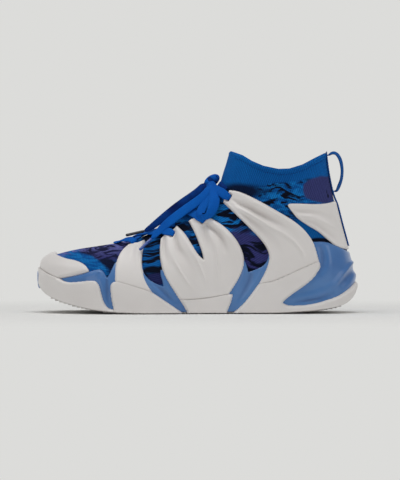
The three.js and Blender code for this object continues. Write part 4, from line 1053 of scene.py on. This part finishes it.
# %% Bootie
def sock(name, outside, inside, drop, floor_gap, roll):
    """A wall that follows the last up to the rim, with a round top edge."""
    triangles, data = knit_net
    x, z = data[:, 0], data[:, 2]
    height = np.interp(x, rim_x, rim_z) - drop - z
    field = np.minimum(height, z - footbed(x) - floor_gap)
    for line in (0.0, 0.35, 0.9, 1.8, 3.2):
        triangles, data, field = cut(triangles, data, field - line, both=line > 0)
        field = field + line
    triangles, data = compact(triangles, np.column_stack([data, field]))
    field = data[:, -1]
    swell = crown(field, roll)
    outer, inner = (value(data[:, 2]) if callable(value) else np.full(len(data),
        value) for value in (outside, inside))
    middle = (outer + inner) / 2
    points, normals = data[:, POINT], data[:, NORMAL]
    welt = 0.45 * np.exp(-(((field - 2.6) / 1.6) ** 2)) if name == "knit_bootie" else 0
    outer = middle + (outer - middle) * swell + welt
    inner = middle - (middle - inner) * swell
    print(name, len(triangles) * 2, "triangles")
    return close_shell(name, triangles, points + normals * outer[:, None], points + normals * inner[:, None],
                       data[:, PATTERN])


bootie = sock("knit_bootie", 0.0, -KNIT, 0.0, -4.0, 2.4)
settle(bootie, bootie_knit, "knit", "knit_bootie")

padding = through([(-20, -3.9), (80, -3.9), (95, -4.6), (108, -5.5), (165, -5.5)])
lining = sock("bootie_lining", -KNIT - 0.1, padding, 1.6, 5.0, 3.0)
settle(lining, lining_cloth, "lining", "collar_padding", "heel_counter", "toe_puff")

# %% [markdown]
# ## Moulded panels
# Each panel is raised off the bootie, round along its open edges and tight along its seams. The
# folds are drawn as lines with a depth and a width at each point: below 0 is a valley and above 0 is
# a ridge. They run from the panel's tip and fade towards the sole, like pleats in a stretched cloth.

# %% Raising a panel
CUT_LINES = (0.0, 0.3, 0.8, 1.5, 2.5)
probe = fine_net[1][:, POINT] + fine_net[1][:, NORMAL] * 3.0


FOOT, BASE = 0.15, -0.3  # heights of a panel's outer edge and of its inner wall


def moulding(name, runs, side, top, finish, slot, edge=2.6, seam=0.8, groove=1.1, gain=1.3, folds=(),
             holes=()):
    """A panel on one side, or over both where side is 0. Runs are (kind, points); folds are lists of
    (x, z, height, width); holes are (centre, along, out, half length, half width) slots."""
    triangles, data = fine_net
    lines = {kind: [smooth_run(points) for k, points in runs if k == kind] for kind in (OPEN, TOUCH)}
    ring = np.concatenate([smooth_run(points)[:-1] for _, points in runs])
    xz = probe[:, [0, 2]] * 1.0
    near = ((xz > ring.min(axis=0) - 4) & (xz < ring.max(axis=0) + 4)).all(axis=1)
    if side:
        near &= (data[:, SIDE] == side) | (data[:, SIDE] == 0)
    spots = xz[near]
    inside = within(spots, ring)
    normal = data[near, 3:6]
    reach, true = np.full(len(spots), 1e6), {}
    for kind in (OPEN, TOUCH):
        distance, way, _ = nearest(spots, lines[kind])
        reach = np.minimum(reach, distance)
        slope = normal[:, 0] * way[:, 0] + normal[:, 2] * way[:, 1]
        true[kind] = distance / np.sqrt(np.maximum(1 - slope * slope, 0.12))
    field = np.full(len(data), -9.0)
    field[near] = np.where(inside, reach, -reach) - SEAM_GAP
    columns = {OPEN: np.full(len(data), 50.0), TOUCH: np.full(len(data), 50.0)}
    for kind in (OPEN, TOUCH):
        columns[kind][near] = np.maximum(true[kind] - SEAM_GAP, 0)
    for centre, along, out, half_length, half_width in holes:
        off = probe - centre
        across = np.cross(out, along)
        u, v, w = np.abs(off @ along) - half_length, np.abs(off @ across) - half_width, off @ out
        gap = np.where(np.abs(w) < 12, np.hypot(np.maximum(u, 0),
            np.maximum(v, 0)) + np.minimum(np.maximum(u, v), 0), 50)
        field = np.minimum(field, gap)
        columns[OPEN] = np.minimum(columns[OPEN], np.maximum(gap, 0))
    lift = np.zeros(len(data))
    for fold in folds:
        distance, _, carried = nearest(spots, [smooth_run(fold)])
        lift[near] += carried[:, 0] * np.exp(-((distance / np.maximum(carried[:, 1], 0.3)) ** 2))
    data = np.column_stack([data, columns[OPEN], columns[TOUCH], lift])
    touched = (field[triangles] > 0).any(axis=1)
    triangles, data, field = cut(triangles[touched], data, field)
    for line in CUT_LINES[1:]:
        triangles, data, _ = cut(triangles, data, data[:, 9] - line * edge / 2.6, both=True)
    for line in (0.3, 0.7):
        triangles, data, _ = cut(triangles, data, data[:, 10] - line * seam / 0.8, both=True)
    triangles, data = compact(triangles, data)
    open_away, seam_away, lift = data[:, 9], data[:, 10], data[:, 11]
    height = np.minimum(FOOT + (top - FOOT) * crown(open_away, edge),
                        top - groove + groove * crown(seam_away, seam))
    height = height + gain * lift * ease(np.minimum(open_away, seam_away * 2), 0.2, 3.2)
    height = np.maximum(height, FOOT)
    points, normals = data[:, POINT], data[:, NORMAL]
    worn_edge = 1 - np.clip(np.minimum(open_away, seam_away) / 1.6, 0, 1)
    # fold is how deep a valley lies, and the finish paints shade there; edge is where the finish shows wear.
    piece = close_shell(
        name, triangles, points + normals * height[:, None], points + normals * BASE, data[:, PATTERN],
        edge=worn_edge, fold=np.clip(-lift / 2.4, 0, 1))
    settle(piece, finish, slot, name)
    print(f"{name}: {len(piece.data.polygons)} triangles")


# %% Front of the shoe
toe_cap_runs = [
    (OPEN, [(-157, 47), (-157, 66)]), (OPEN, [(-157, 66), (-135.5, 61)]),
    (OPEN, [(-135.5, 61), (-134.5, 56.3)]),
    (OPEN, [(-134.5, 56.3), (-126, 53.3), (-117, 51.5), (-110, 49), (-105.5, 45.8), (-102.5, 41)]),
    (OPEN, cage_front_top[::-1]), (TOUCH, toe_crease[::-1]),
]
moulding("toe_cap", toe_cap_runs, 0, UPPER_PANEL, white_shell, "white_shell", edge=3.4, folds=[
    [(-150, 47, 0.0, 4), (-138, 45, 0.5, 5), (-124, 43.5, 0.7, 4), (-110, 42.5, 0.2, 3)],
])
toe_wall_runs = [
    (TOUCH, toe_crease),
    (OPEN, [(-131, 33.5), (-126, 31), (-119, 30.2), (-110, 31), (-102, 32), (-96.5, 31.5), (-92.8, 27.5),
            (-90.5, 19.5), (-88, 11.5), (-84, 6.3), (-79, 4.6)]),
    (TOUCH, [(-79, 4.6)] + wall(-78.6)),
    (TOUCH, wall(-78.6, -88, -100, -112, -124, -134, -142, -148, -152, -157)),
    (TOUCH, wall(-157) + [(-157, 47)]),
]
moulding("toe_sidewall", toe_wall_runs, 0, SIDEWALL, white_shell, "white_shell", edge=2.6, seam=1.0,
         groove=0.4)
for word, side in (("lateral", LATERAL), ("medial", MEDIAL)):
    moulding(f"forefoot_strap_{word}", [
        (OPEN, strap_front), (OPEN, [(-66, 65.6), (-62, 66.8), (-56, 68.1), (-50, 70.6)]), (OPEN, strap_back),
        (TOUCH, strap_foot),
    ], side, UPPER_PANEL, white_shell, "white_shell", folds=[
        [(-60, 66, 0.5, 3), (-63, 55, 0.9, 4), (-64, 44, 0.5, 5), (-63, 34, 0.1, 5)],
        [(-56.5, 66, -0.6, 2), (-57, 55, -0.7, 2.4), (-56, 42, -0.3, 3), (-54, 32, 0, 3)],
    ], holes=slots(side, 0))
    moulding(f"forefoot_sidewall_{word}", [
        (OPEN, [(-79, 4.6), (-80.6, 12), (-81.8, 20), (-81.8, 27), (-80, 30.3), (-77.5, 31)]),
        (TOUCH, strap_foot[::-1]), (OPEN, [(-42, 20.5), (-34, 15), (-26, 9.7), (-19, 4.8), (-14, 1.4)]),
        (TOUCH, wall(-14, -30, -50, -66, -78.6)), (TOUCH, wall(-78.6) + [(-79, 4.6)]),
    ], side, SIDEWALL, white_shell, "white_shell", seam=0.9, groove=0.4)

# %% Middle wings and their pleats
wing_folds = [
    [(-31.5, 74, -0.9, 1.5), (-32, 66, -1.3, 1.8), (-30.8, 56, -0.9, 2.2), (-27, 46, -0.2, 2.5)],
    [(-27, 76, 0.5, 2.4), (-27, 64, 0.7, 2.6), (-23, 52, 0.7, 2.2), (-18, 43, 0.8, 1.5),
     (-11, 32, 0.6, 1.3), (-5, 24, 0.1, 1.3)],
    [(-22.2, 79, -1.3, 1.7), (-20.5, 70, -1.7, 2), (-17.5, 61, -1.5, 2.6), (-11, 51, -1.0, 4.2),
     (-6, 42, -0.4, 5), (-3, 32, 0, 5)],
    [(-17, 77, 0.6, 2.2), (-9, 64, 0.6, 2.6), (-3, 55, 0.7, 1.8), (1.5, 46, 0.8, 1.4), (5.5, 36, 0.5, 1.3),
     (9, 26, 0.1, 1.3)],
    [(3, 90, -0.8, 2), (6.2, 82, -1.5, 2.6), (7, 74, -1.2, 2.8), (9, 64, -0.4, 3)],
    [(10, 77, 0.3, 2), (15.5, 68, 0.9, 2.4), (18, 58, 1.0, 2), (19, 46, 0.8, 1.6), (19, 30, 0.2, 1.6)],
    [(6.5, 89, -1.2, 1.6), (11, 82.5, -2.1, 1.9), (17, 78, -2.1, 2.1), (22, 72, -1.8, 2.3),
     (25, 64, -1.1, 3), (29, 55, -0.2, 3.5)],
    [(15, 86, 0.5, 2), (25, 77.5, 0.7, 2.6), (33, 68, 0.6, 3), (37.5, 57, 0.4, 3), (38, 44, 0, 3)],
]
blade_folds = [
    [(33, 107.5, -0.6, 1.5), (40, 103.8, -1.5, 1.8), (50, 99.3, -2.1, 2.2), (60, 93.5, -1.9, 2.6),
     (71, 88, -1.4, 2.8), (83, 81.5, -0.3, 3)],
    [(36, 100, 0.4, 2), (48, 94.6, 1.0, 2.2), (60, 87.6, 1.3, 2.2), (71, 81, 1.2, 2.2), (82, 75, 0.9, 2),
     (92, 67, 0.8, 1.7), (99, 57.5, 0.6, 1.6), (101.5, 50, 0.1, 1.6)],
    [(41, 95, -0.8, 1.8), (50, 88, -1.4, 2.6), (60, 79.5, -1.2, 3.4), (69, 71, -1.0, 4), (76, 60, -0.4, 5)],
    [(45, 108, 0.4, 2.5), (60, 101, 0.6, 3), (80, 90, 0.6, 4), (96, 78, 0.4, 4)],
]
for word, side in (("lateral", LATERAL), ("medial", MEDIAL)):
    moulding(f"midfoot_wing_{word}", [
        (OPEN, wing_front), (OPEN, [(-35.5, 71), (-31, 75.8), (-26, 79), (-22.6, 81), (-20, 84)]),
        (OPEN, [(-20, 84), (-12, 76), (-5, 65.3), (0.5, 56.7), (5.6, 51.6)]),
        (OPEN, [(5.6, 51.6), (4, 59), (0.5, 68.5), (-4, 79), (-9, 88)]),
        (OPEN, [(-9, 88), (-2, 91.8), (6, 92.4), (13, 90.5)]), (OPEN, wing_back), (TOUCH, wing_foot),
    ], side, UPPER_PANEL, white_shell, "white_shell", edge=2.2, gain=1.7, folds=wing_folds,
    holes=slots(side, 1, 2))
    moulding(f"midfoot_sidewall_{word}", [
        (TOUCH, wing_foot), (OPEN, [(-17, 13.6), (-13.5, 8.5), (-10.5, 3), (-10, 1)]),
        (TOUCH, wall(-10, 8, 28)),
        (OPEN, wall(28) + [(28.8, 4), (31.8, 11.5), (33.4, 18.6)]), (OPEN, [(33.4, 18.6), (30, 19)]),
    ], side, SIDEWALL, white_shell, "white_shell", seam=0.9, groove=0.6)
    moulding(f"quarter_blade_{word}", [
        (OPEN, blade_front), (OPEN, [(23.8, 105.5), (25, 111), (30, 117)]), (OPEN, blade_back),
        (TOUCH, blade_foot),
    ], side, UPPER_PANEL, white_shell, "white_shell", edge=2.4, gain=1.55, folds=blade_folds,
    holes=slots(side, 3))
    moulding(f"heel_wing_{word}", [
        (OPEN, [(85, 102), (87, 104), (97, 104.2), (112, 103.8), (123, 104.5), (134, 107)]),
        (TOUCH, [(134, 107), (150, 60)]), (OPEN, [(150, 60), (139, 61.9), (131, 65)]),
        (OPEN, [(131, 65), (124, 70.5), (115, 77.7), (104, 84), (95, 90), (89.5, 96), (85, 102)]),
    ], side, HEEL_WING, white_shell, "white_shell", edge=1.8, folds=[
        [(91, 97.3, -0.5, 1.6), (98, 96.5, -1.2, 1.9), (108, 95.8, -1.0, 2), (118, 93.5, -0.6, 2.2),
         (129, 88, -0.1, 2.5)],
        [(98, 92.5, 0.5, 1.8), (108, 91.3, 1.0, 2), (118, 87.5, 1.0, 2), (127, 82.5, 0.7, 2),
         (134, 77, 0.3, 2)],
        [(101, 88.5, -0.5, 1.4), (109, 86, -1.0, 1.8), (117, 81.5, -1.1, 2.2), (126, 75, -0.8, 2.4),
         (135, 67.5, -0.2, 2.5)],
    ])
rear_wall_runs = [
    (TOUCH, blade_foot[::-1]), (OPEN, heel_cup_edge),
    (OPEN, [(80.5, 10.5), (86, 8.3), (97, 8.3), (110, 9.8), (122, 13), (134, 17.2), (144, 23.5), (151, 30),
            (160, 37)]),
    (TOUCH, [(160, 37), (160, 26)]), (TOUCH, [(160, 26)] + wall(150)),
    (TOUCH, wall(150, 147, 140, 130, 115, 95, 75, 33)),
    (OPEN, wall(33) + [(38, 5.2), (44, 10.8), (50.5, 19), (57.5, 28.5)]),
]
moulding("rear_sidewall", rear_wall_runs, 0, SIDEWALL, white_shell, "white_shell", edge=2.8, seam=0.9,
         groove=0.4)

# %% [markdown]
# The two halves of the sidewall come together at the very tip, and a small blue insert covers the
# place. Its outline is a rounded shield drawn from the front. How far out each of its points lies
# comes from the wall around it, so the insert follows the wall and stands a little proud of it.

# %% Toe insert
def toe_shield(name):
    """A blister over the very tip, where the two halves of the sidewall come together."""
    rows, columns = 16, 72
    middle_y, middle_z, depth, proud = float(centre_line(-148)), 31.6, 3.4, 0.55
    share, turn = np.meshgrid(np.linspace(0, 1, rows), np.linspace(0, 2 * math.pi, columns, endpoint=False),
                              indexing="ij")
    up = signed_power(np.sin(turn), 0.75)
    y = share * (12.0 + 1.5 * up) * signed_power(np.cos(turn), 0.75)
    z = share * 8.8 * up
    places = np.stack([middle_y + y, middle_z + z], -1).reshape(-1, 2)
    around = np.column_stack([share.reshape(-1), y.reshape(-1), z.reshape(-1)])
    skin = fine_net[1][:, POINT] + fine_net[1][:, NORMAL] * SIDEWALL
    skin = skin[(skin[:, 0] < -138) & (skin[:, 2] > 16) & (skin[:, 2] < 46)]
    # the nearer a point of the wall, the more it counts
    apart = ((places[:, None] - skin[None, :, 1:3]) ** 2).sum(axis=-1)
    weight = 1 / (apart + 0.8) ** 3
    level = (weight * skin[:, 0]).sum(axis=1) / weight.sum(axis=1)
    drop = 1.2 * share.reshape(-1) ** 10
    front = np.column_stack([level - proud + drop, places])
    behind = front + (depth, 0, 0)
    triangles = ball_faces(rows, columns, poles=(0,))
    p = front[triangles]
    if np.cross(p[:, 1] - p[:, 0], p[:, 2] - p[:, 0])[:, 0].sum() > 0:
        triangles = triangles[:, ::-1]
    triangles, kept = compact(triangles, np.column_stack([front, behind, around]))
    piece = close_shell(name, triangles, kept[:, :3], kept[:, 3:6], kept[:, 7:9],
                        edge=np.clip(kept[:, 6] * 4 - 3, 0, 1), fold=np.zeros(len(kept)))
    settle(piece, cage_blue, "cage_blue", name)
    print(f"{name}: {len(piece.data.polygons)} triangles")


toe_shield("toe_insert")

# %% [markdown]
# ## The blue cage
# The cage is a thinner, glossier moulding below the white panels. Its arms are hollowed like spoons,
# with a sharp ridge where two faces meet, so the light draws a bright line down each arm.

# %% Cage and heel cup
cage_runs = [
    (OPEN, cage_front_top), (OPEN, [(-102.5, 41), (-97, 42.6), (-92, 43.3), (-89, 41), (-86.7, 37.5),
                                    (-85.5, 35)]),
    (OPEN, [(-85.5, 35), (-83.3, 38.5), (-80.5, 44.5), (-78, 50)]),
    (OPEN, [(-78, 50), (-66, 48), (-52.8, 47.5), (-50.5, 40), (-46, 34), (-39.5, 29.5), (-32, 26.5)]),
    (OPEN, [(-32, 26.5), (-33, 32), (-34.7, 37), (-35, 42)]),
    (OPEN, [(-35, 42), (-20, 45), (0, 45), (25, 46), (43.5, 52)]),
    (OPEN, [(43.5, 52), (45.6, 48), (47, 43.5), (48, 39.5)]),
    (OPEN, [(48, 39.5), (56, 42.5), (61.5, 45.5), (65.3, 50), (67.4, 57)]),
    (OPEN, [(67.4, 57), (76, 57), (86, 50), (86, 36), (78, 20), (72, 2.2)]),
    (OPEN, [(72, 2.2), (40, 2), (-40, 2), (-80, 3.2), (-92, 6)]),
    (OPEN, [(-92, 6), (-112, 20), (-131, 33.5)]),
]
cage_folds = [
    [(-126, 33.2, 0.2, 2), (-112, 35, 0.5, 2.4), (-100, 37, 0.6, 2.6), (-92, 40.5, 0.9, 1.6),
     (-88.5, 38, 0.8, 1.3)],
    [(-92, 33, 0.5, 2), (-89.5, 25, 0.6, 1.6), (-87.3, 15, 0.5, 1.5), (-84.5, 8, 0.2, 1.5)],
    [(-85.3, 33, -0.9, 1.1), (-85.2, 25, -1.1, 1.3), (-84.6, 15, -0.8, 1.2), (-83, 9, -0.1, 1)],
    [(-83.5, 33, 0.6, 1.1), (-83.2, 24, 0.6, 1.1), (-82.3, 14, 0.4, 1.1)],
    [(-50.5, 38, 0.9, 1.8), (-46, 30, 1.1, 2), (-39, 22.5, 0.9, 2), (-30, 15.5, 0.5, 1.8),
     (-22, 10, 0.2, 1.6)],
    [(-40, 29, -0.5, 1.6), (-34, 23.5, -1.1, 1.8), (-28, 17.5, -1.1, 1.8), (-22, 12, -0.5, 1.6)],
    [(-33.2, 33, 0.9, 1.6), (-29, 24, 0.8, 1.5), (-24, 16, 0.5, 1.5), (-18, 9, 0.2, 1.5)],
    [(45.5, 44, 0.8, 1.6), (43, 34, 0.9, 2.2), (38.5, 24, 0.8, 2.6), (34, 13, 0.3, 2.4)],
    [(50, 37, -0.9, 2), (47.5, 29, -1.2, 2.2), (43, 20.5, -1.1, 2), (38.5, 14, -0.4, 1.8)],
    [(62, 44, 0.7, 2), (57, 33, 0.7, 2), (50, 22, 0.6, 2), (43, 12, 0.3, 2)],
]
cup_runs = [
    (OPEN, [(109.5, 68.3), (122, 68), (131, 65), (139, 61.8), (146, 58.5), (160, 54)]),
    (TOUCH, [(160, 54), (160, 31)]),
    (OPEN, [(160, 31), (150, 24), (140, 14.5), (128, 9), (108, 6), (78, 5.5)]),
    (OPEN, [(78, 5.5), (80, 14), (92, 30), (103, 48), (109.5, 68.3)]),
]
cup_folds = [
    [(113, 67, 0.3, 2), (118.5, 58, -1.0, 2.2), (119, 48, -1.3, 2.4), (115, 39, -0.8, 2.2)],
    [(123, 64, 0.5, 4), (125, 52, 0.9, 5), (122, 40, 0.6, 6), (110, 28, 0.3, 6)],
    [(152, 51, 1.0, 1.3), (146, 46, 1.2, 1.5), (139, 38, 1.0, 2), (131, 29, 0.6, 2.6), (122, 22, 0.2, 3)],
    [(150, 42, -0.4, 2.2), (144, 36, -1.0, 3), (137, 29, -0.8, 3)],
    [(151, 36, 1.2, 3), (147, 30, 0.8, 3), (141, 24, 0.3, 3)],
    [(92, 11.5, -0.3, 1.2), (104, 12.8, -1.1, 1.3), (116, 15, -1.0, 1.5), (128, 19, -0.5, 2)],
    [(90, 14.5, 0.4, 2), (104, 17, 0.7, 2.4), (118, 21, 0.4, 3)],
]
for word, side in (("lateral", LATERAL), ("medial", MEDIAL)):
    moulding(f"cage_{word}", cage_runs, side, CAGE, cage_blue, "cage_blue", edge=1.6, gain=1.15,
             folds=cage_folds)
moulding("heel_cup", cup_runs, 0, CAGE, cage_blue, "cage_blue", edge=1.8, gain=1.3, folds=cup_folds)

# %% [markdown]
# ## Outsole
# The outsole is a thin rubber plate with a herringbone tread. The bars are one Geometry Nodes
# network: points on a grid are dropped onto the plate's underside, and each gets a short bar, turned
# one way or the other by its row. Only the plate decides where bars go, so a new outline needs no
# new drawing.

# %% Sole plate
def sole_half(x, side):
    """The plan outline of the last a little above the sole."""
    points = fine_net[1]
    low = points[(points[:, 2] < sole_line(points[:, 0]) + 3.4) & (points[:, SIDE] == side)]
    out = []
    for place in x:
        close = low[np.abs(low[:, 0] - place) < 1.6]
        out.append((side * (close[:, 1] - centre_line(close[:, 0]))).max() if len(close) else 0)
    return np.convolve(np.pad(out, 1, mode="edge"), (0.25, 0.5, 0.25), mode="valid")


def sole_plate(name, section, xs, finish):
    """Closed: at each x one ring of (inset from the outline, height over the sole line)."""
    halves = {side: sole_half(xs, side) + 0.5 for side in (LATERAL, MEDIAL)}
    rings = []
    for i, x in enumerate(xs):
        ring = []
        for side, order in ((LATERAL, section), (MEDIAL, section[::-1])):
            for inset, height in order:
                half = max(halves[side][i] - inset, 0.4)
                ring.append((x, float(centre_line(x)) + side * half, float(sole_line(x)) + height))
        rings.append(ring)
    rings = np.array(rings)
    verts = np.concatenate([rings.reshape(-1, 3), rings[[0, -1]].mean(axis=1)])
    piece = link(name, verts, tube_faces(*rings.shape[:2]), smooth=False)
    put_pattern_map(piece, verts[:, :2])
    settle(piece, finish, "outsole_rubber", "outsole")
    return piece


plate_x = np.concatenate([[-149, -148.2, -147, -145.5, -143.5, -141, -138], np.linspace(-135, 135, 109),
                          [138, 141, 143.5, 145.5, 147.2, 148.3, 149]])
plate = sole_plate("outsole_plate", [(0, 2.9), (0, 1.9), (0.5, 1.45), (1.6, 1.3)], plate_x, outsole_rubber)
put_attribute(plate, "edge", np.zeros(len(plate.data.vertices)))

# %% Tread bars by Geometry Nodes
def fresh_nodes(name, sockets):
    tree = bpy.data.node_groups.new(name, "GeometryNodeTree")
    tree.interface.new_socket(name="Geometry", in_out="INPUT", socket_type="NodeSocketGeometry")
    idents = {}
    for label, kind, default in sockets:
        socket = tree.interface.new_socket(name=label, in_out="INPUT", socket_type=kind)
        if default is not None:
            socket.default_value = default
        idents[label] = socket.identifier
    tree.interface.new_socket(name="Geometry", in_out="OUTPUT", socket_type="NodeSocketGeometry")
    return tree, idents, node(tree, "NodeGroupInput").outputs, node(tree, "NodeGroupOutput").inputs


def end_nodes(tree, copies, finish, output):
    """Makes the copies real and gives them their finish, as the last two steps of a network."""
    real = node(tree, "GeometryNodeRealizeInstances", {"Geometry": copies}).outputs[0]
    tree.links.new(node(tree, "GeometryNodeSetMaterial", {"Geometry": real, "Material": finish}).outputs[0],
                   output)


def grow(piece, tree, idents, **values):
    """Runs the node network on a piece and keeps its result as plain mesh."""
    modifier = piece.modifiers.new(tree.name, "NODES")
    modifier.node_group = tree
    for label, value in values.items():
        modifier[idents[label.replace("_", " ")]] = value
    graph = bpy.context.evaluated_depsgraph_get()
    graph.update()
    made = bpy.data.meshes.new_from_object(piece.evaluated_get(graph), preserve_all_data_layers=True,
                                           depsgraph=graph)
    piece.modifiers.clear()
    piece.data = made
    return piece


bars, bar_ids, given, result = fresh_nodes("herringbone_tread", [
    ("Bar length", "NodeSocketFloat", 0.007), ("Bar width", "NodeSocketFloat", 0.0016),
    ("Bar height", "NodeSocketFloat", 0.0016),
    ("Row pitch", "NodeSocketFloat", 0.0056), ("Turn", "NodeSocketFloat", 0.62),
    ("Finish", "NodeSocketMaterial", None)])
place = node(bars, "GeometryNodeInputPosition").outputs[0]
row = sums(bars, "FLOOR", sums(bars, "DIVIDE", node(bars, "ShaderNodeSeparateXYZ", {0: place}).outputs[1],
                               given["Row pitch"]))
parity = sums(bars, "SUBTRACT", product(bars, sums(bars, "FLOORED_MODULO", row, 2.0), 2.0), 1.0)
angle = product(bars, parity, given["Turn"])
size = node(bars, "ShaderNodeCombineXYZ", {0: given["Bar length"], 1: given["Bar width"],
                                           2: given["Bar height"]}).outputs[0]
block = node(bars, "GeometryNodeMeshCube", {"Size": size}).outputs["Mesh"]
spread = node(bars, "GeometryNodeInstanceOnPoints", {
    "Points": given["Geometry"], "Instance": block,
    "Rotation": node(bars, "ShaderNodeCombineXYZ", {2: angle}).outputs[0]}).outputs[0]
end_nodes(bars, spread, given["Finish"], result["Geometry"])

grid_x, grid_y = np.arange(-136, 137, 4.2), np.arange(-47.6, 48, 5.6)
half_l, half_m = sole_half(grid_x, LATERAL), sole_half(grid_x, MEDIAL)
seats = [(x, y, float(sole_line(x)) + 0.8) for i, x in enumerate(grid_x) for y in grid_y
         if -half_l[i] + 2.2 < y - float(centre_line(x)) < half_m[i] - 2.2]
tread = link("outsole_tread", seats, np.zeros((0, 3), int), smooth=False)
grow(tread, bars, bar_ids, Finish=outsole_rubber)
tread.data.attributes.new("edge", "FLOAT", "POINT")
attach(tread, "shoe")
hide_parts("outsole")
print("tread bars:", len(seats), "triangles:", len(tread.data.polygons) * 2)

# %% [markdown]
# ## Webbing at the heel
# A woven strip covers the seam up the back of the heel. The pull loop is a second strip. It is
# narrower at both ends, where it is sewn on, and swings about the line between them.

# %% Heel strip and pull loop
strip_places = [  # station and how far out: over the heel wings, then down to the knit
    (18.35, 2.7), (18.7, 2.9), (19.1, 2.9), (19.5, 2.9), (19.8, 2.7), (20.05, 1.6), (20.4, 0.95), (21, 0.9),
    (21.4, 0.9), (21.72, 0.9)]
strip_points = [off_last(station, 1, LATERAL, out) for station, out in strip_places]
strip_path = band(
    "heel_strip", strip_points, [(1, 0, 0.2)] * len(strip_points), webbing_cloth, "webbing", width=10,
    thick=1.3, cup=0.7)[1]
LOOP_OUT = 0.9 + 0.6 + 1.4
loop_top, loop_foot = off_last(21.62, 1, LATERAL, LOOP_OUT), off_last(20.28, 1, LATERAL, LOOP_OUT)
LOOP_PATH = [(2, 1.6), (5, 2.2), (8, 0.6), (10.6, -3.4), (12.2, -9), (12.8, -16), (12, -23), (10, -29),
             (7.6, -34)]
loop_points = np.array([loop_top] + [loop_top + (out, 0, up) for out, up in LOOP_PATH] + [loop_foot])
loop_line = unit(loop_top - loop_foot)
off_line = loop_points - loop_foot
off_line = np.linalg.norm(off_line - np.outer(off_line @ loop_line, loop_line), axis=1)
loop_looks = loop_points - (loop_top + loop_foot) / 2
loop_looks[:, 1] = 0
loop_looks = unit(loop_looks) - (0, 0.26, 0)  # a slight twist
band(
    "pull_loop", loop_points, loop_looks, webbing_cloth, "webbing", body="pull_loop",
    width=np.minimum(10, 2 * (1.4 + 0.82 * off_line)), thick=1.3, cup=0.25)

for name, station, end in (("pull_loop_tab_top", 21.62, loop_top), ("pull_loop_tab_foot", 20.28, loop_foot)):
    start = off_last(station, 1, LATERAL, 0.6)
    points = [start + (end - start) * t for t in (0, 0.35, 0.7, 1.0)]
    band(name, points, [(0, 0, 1)] * 4, webbing_cloth, "webbing", width=[9, 6, 3.6, 2.6], thick=1.3, cup=0.0,
         nodes=["heel_strip"])

# %% Stitches by Geometry Nodes
stitches, stitch_ids, given, result = fresh_nodes("stitch_row", [
    ("Pitch", "NodeSocketFloat", 0.0026), ("Thread", "NodeSocketFloat", 0.00032),
    ("Finish", "NodeSocketMaterial", None)])
line = node(stitches, "GeometryNodeMeshToCurve", {"Mesh": given["Geometry"]}).outputs[0]
spots = node(stitches, "GeometryNodeCurveToPoints", {"Curve": line, "Length": given["Pitch"]},
             mode="LENGTH").outputs
ball = node(stitches, "GeometryNodeMeshUVSphere",
            {"Segments": 8, "Rings": 6, "Radius": given["Thread"]}).outputs["Mesh"]
shaped = node(stitches, "GeometryNodeTransform", {"Geometry": ball, "Scale": (1.0, 1.0, 3.0)}).outputs[0]
sewn = node(stitches, "GeometryNodeInstanceOnPoints", {
    "Points": spots["Points"], "Instance": shaped, "Rotation": spots["Rotation"]}).outputs[0]
end_nodes(stitches, sewn, given["Finish"], result["Geometry"])


def sew(name, lines, body):
    """Rows of stitches along lines in millimetres, as one piece."""
    verts = np.concatenate(lines)
    edges, start = [], 0
    for row in lines:
        edges += [(start + i, start + i + 1) for i in range(len(row) - 1)]
        start += len(row)
    mesh = bpy.data.meshes.new(name)
    mesh.from_pydata((verts * MM).tolist(), edges, [])
    piece = bpy.data.objects.new(name, mesh)
    bpy.context.scene.collection.objects.link(piece)
    grow(piece, stitches, stitch_ids, Finish=stitch_thread)
    piece.data.shade_smooth()
    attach(piece, body)
    print(name, len(piece.data.polygons), "faces")
    return piece


strip_mm = strip_path / MM
back_way = unit(np.cross(np.gradient(strip_mm, axis=0), (0, 1, 0)))
back_way *= np.sign(back_way[:, :1])
sew("heel_strip_stitches", [strip_mm + back_way * 0.2 + (0, side * 3.6, 0) for side in (-1, 1)], "shoe")
rim_rows = []
for side in (LATERAL, MEDIAL):
    x = np.linspace(36, 118, 60)
    own = fine_net[1][fine_net[1][:, SIDE] == side]
    goals = np.column_stack([x, np.interp(x, rim_x, rim_z) - 5.5])
    found = [own[np.argmin(np.hypot(own[:, 0] - gx, own[:, 2] - gz))] for gx, gz in goals]
    rim_rows.append(np.array([row[POINT] + row[NORMAL] * 0.12 for row in found]))
sew("collar_stitches", rim_rows, "shoe")

# %% [markdown]
# ## Parts that stay as they are
# The insole, the boards and the foam under the foot keep their CAD shape. They only get their
# finishes.

# %% Finishes for the parts inside
for name, finish in (("insole", insole_cloth), ("midsole_core", foam), ("strobel_board", board_cloth),
                     ("shank_plate", shank_finish)):
    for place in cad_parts[name].material_slots:
        place.link = "OBJECT"
        place.material = finish
shown = [o.name for o in bpy.context.scene.objects if o.type == "MESH" and not o.get("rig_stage")]
print("pieces:", len(shown))
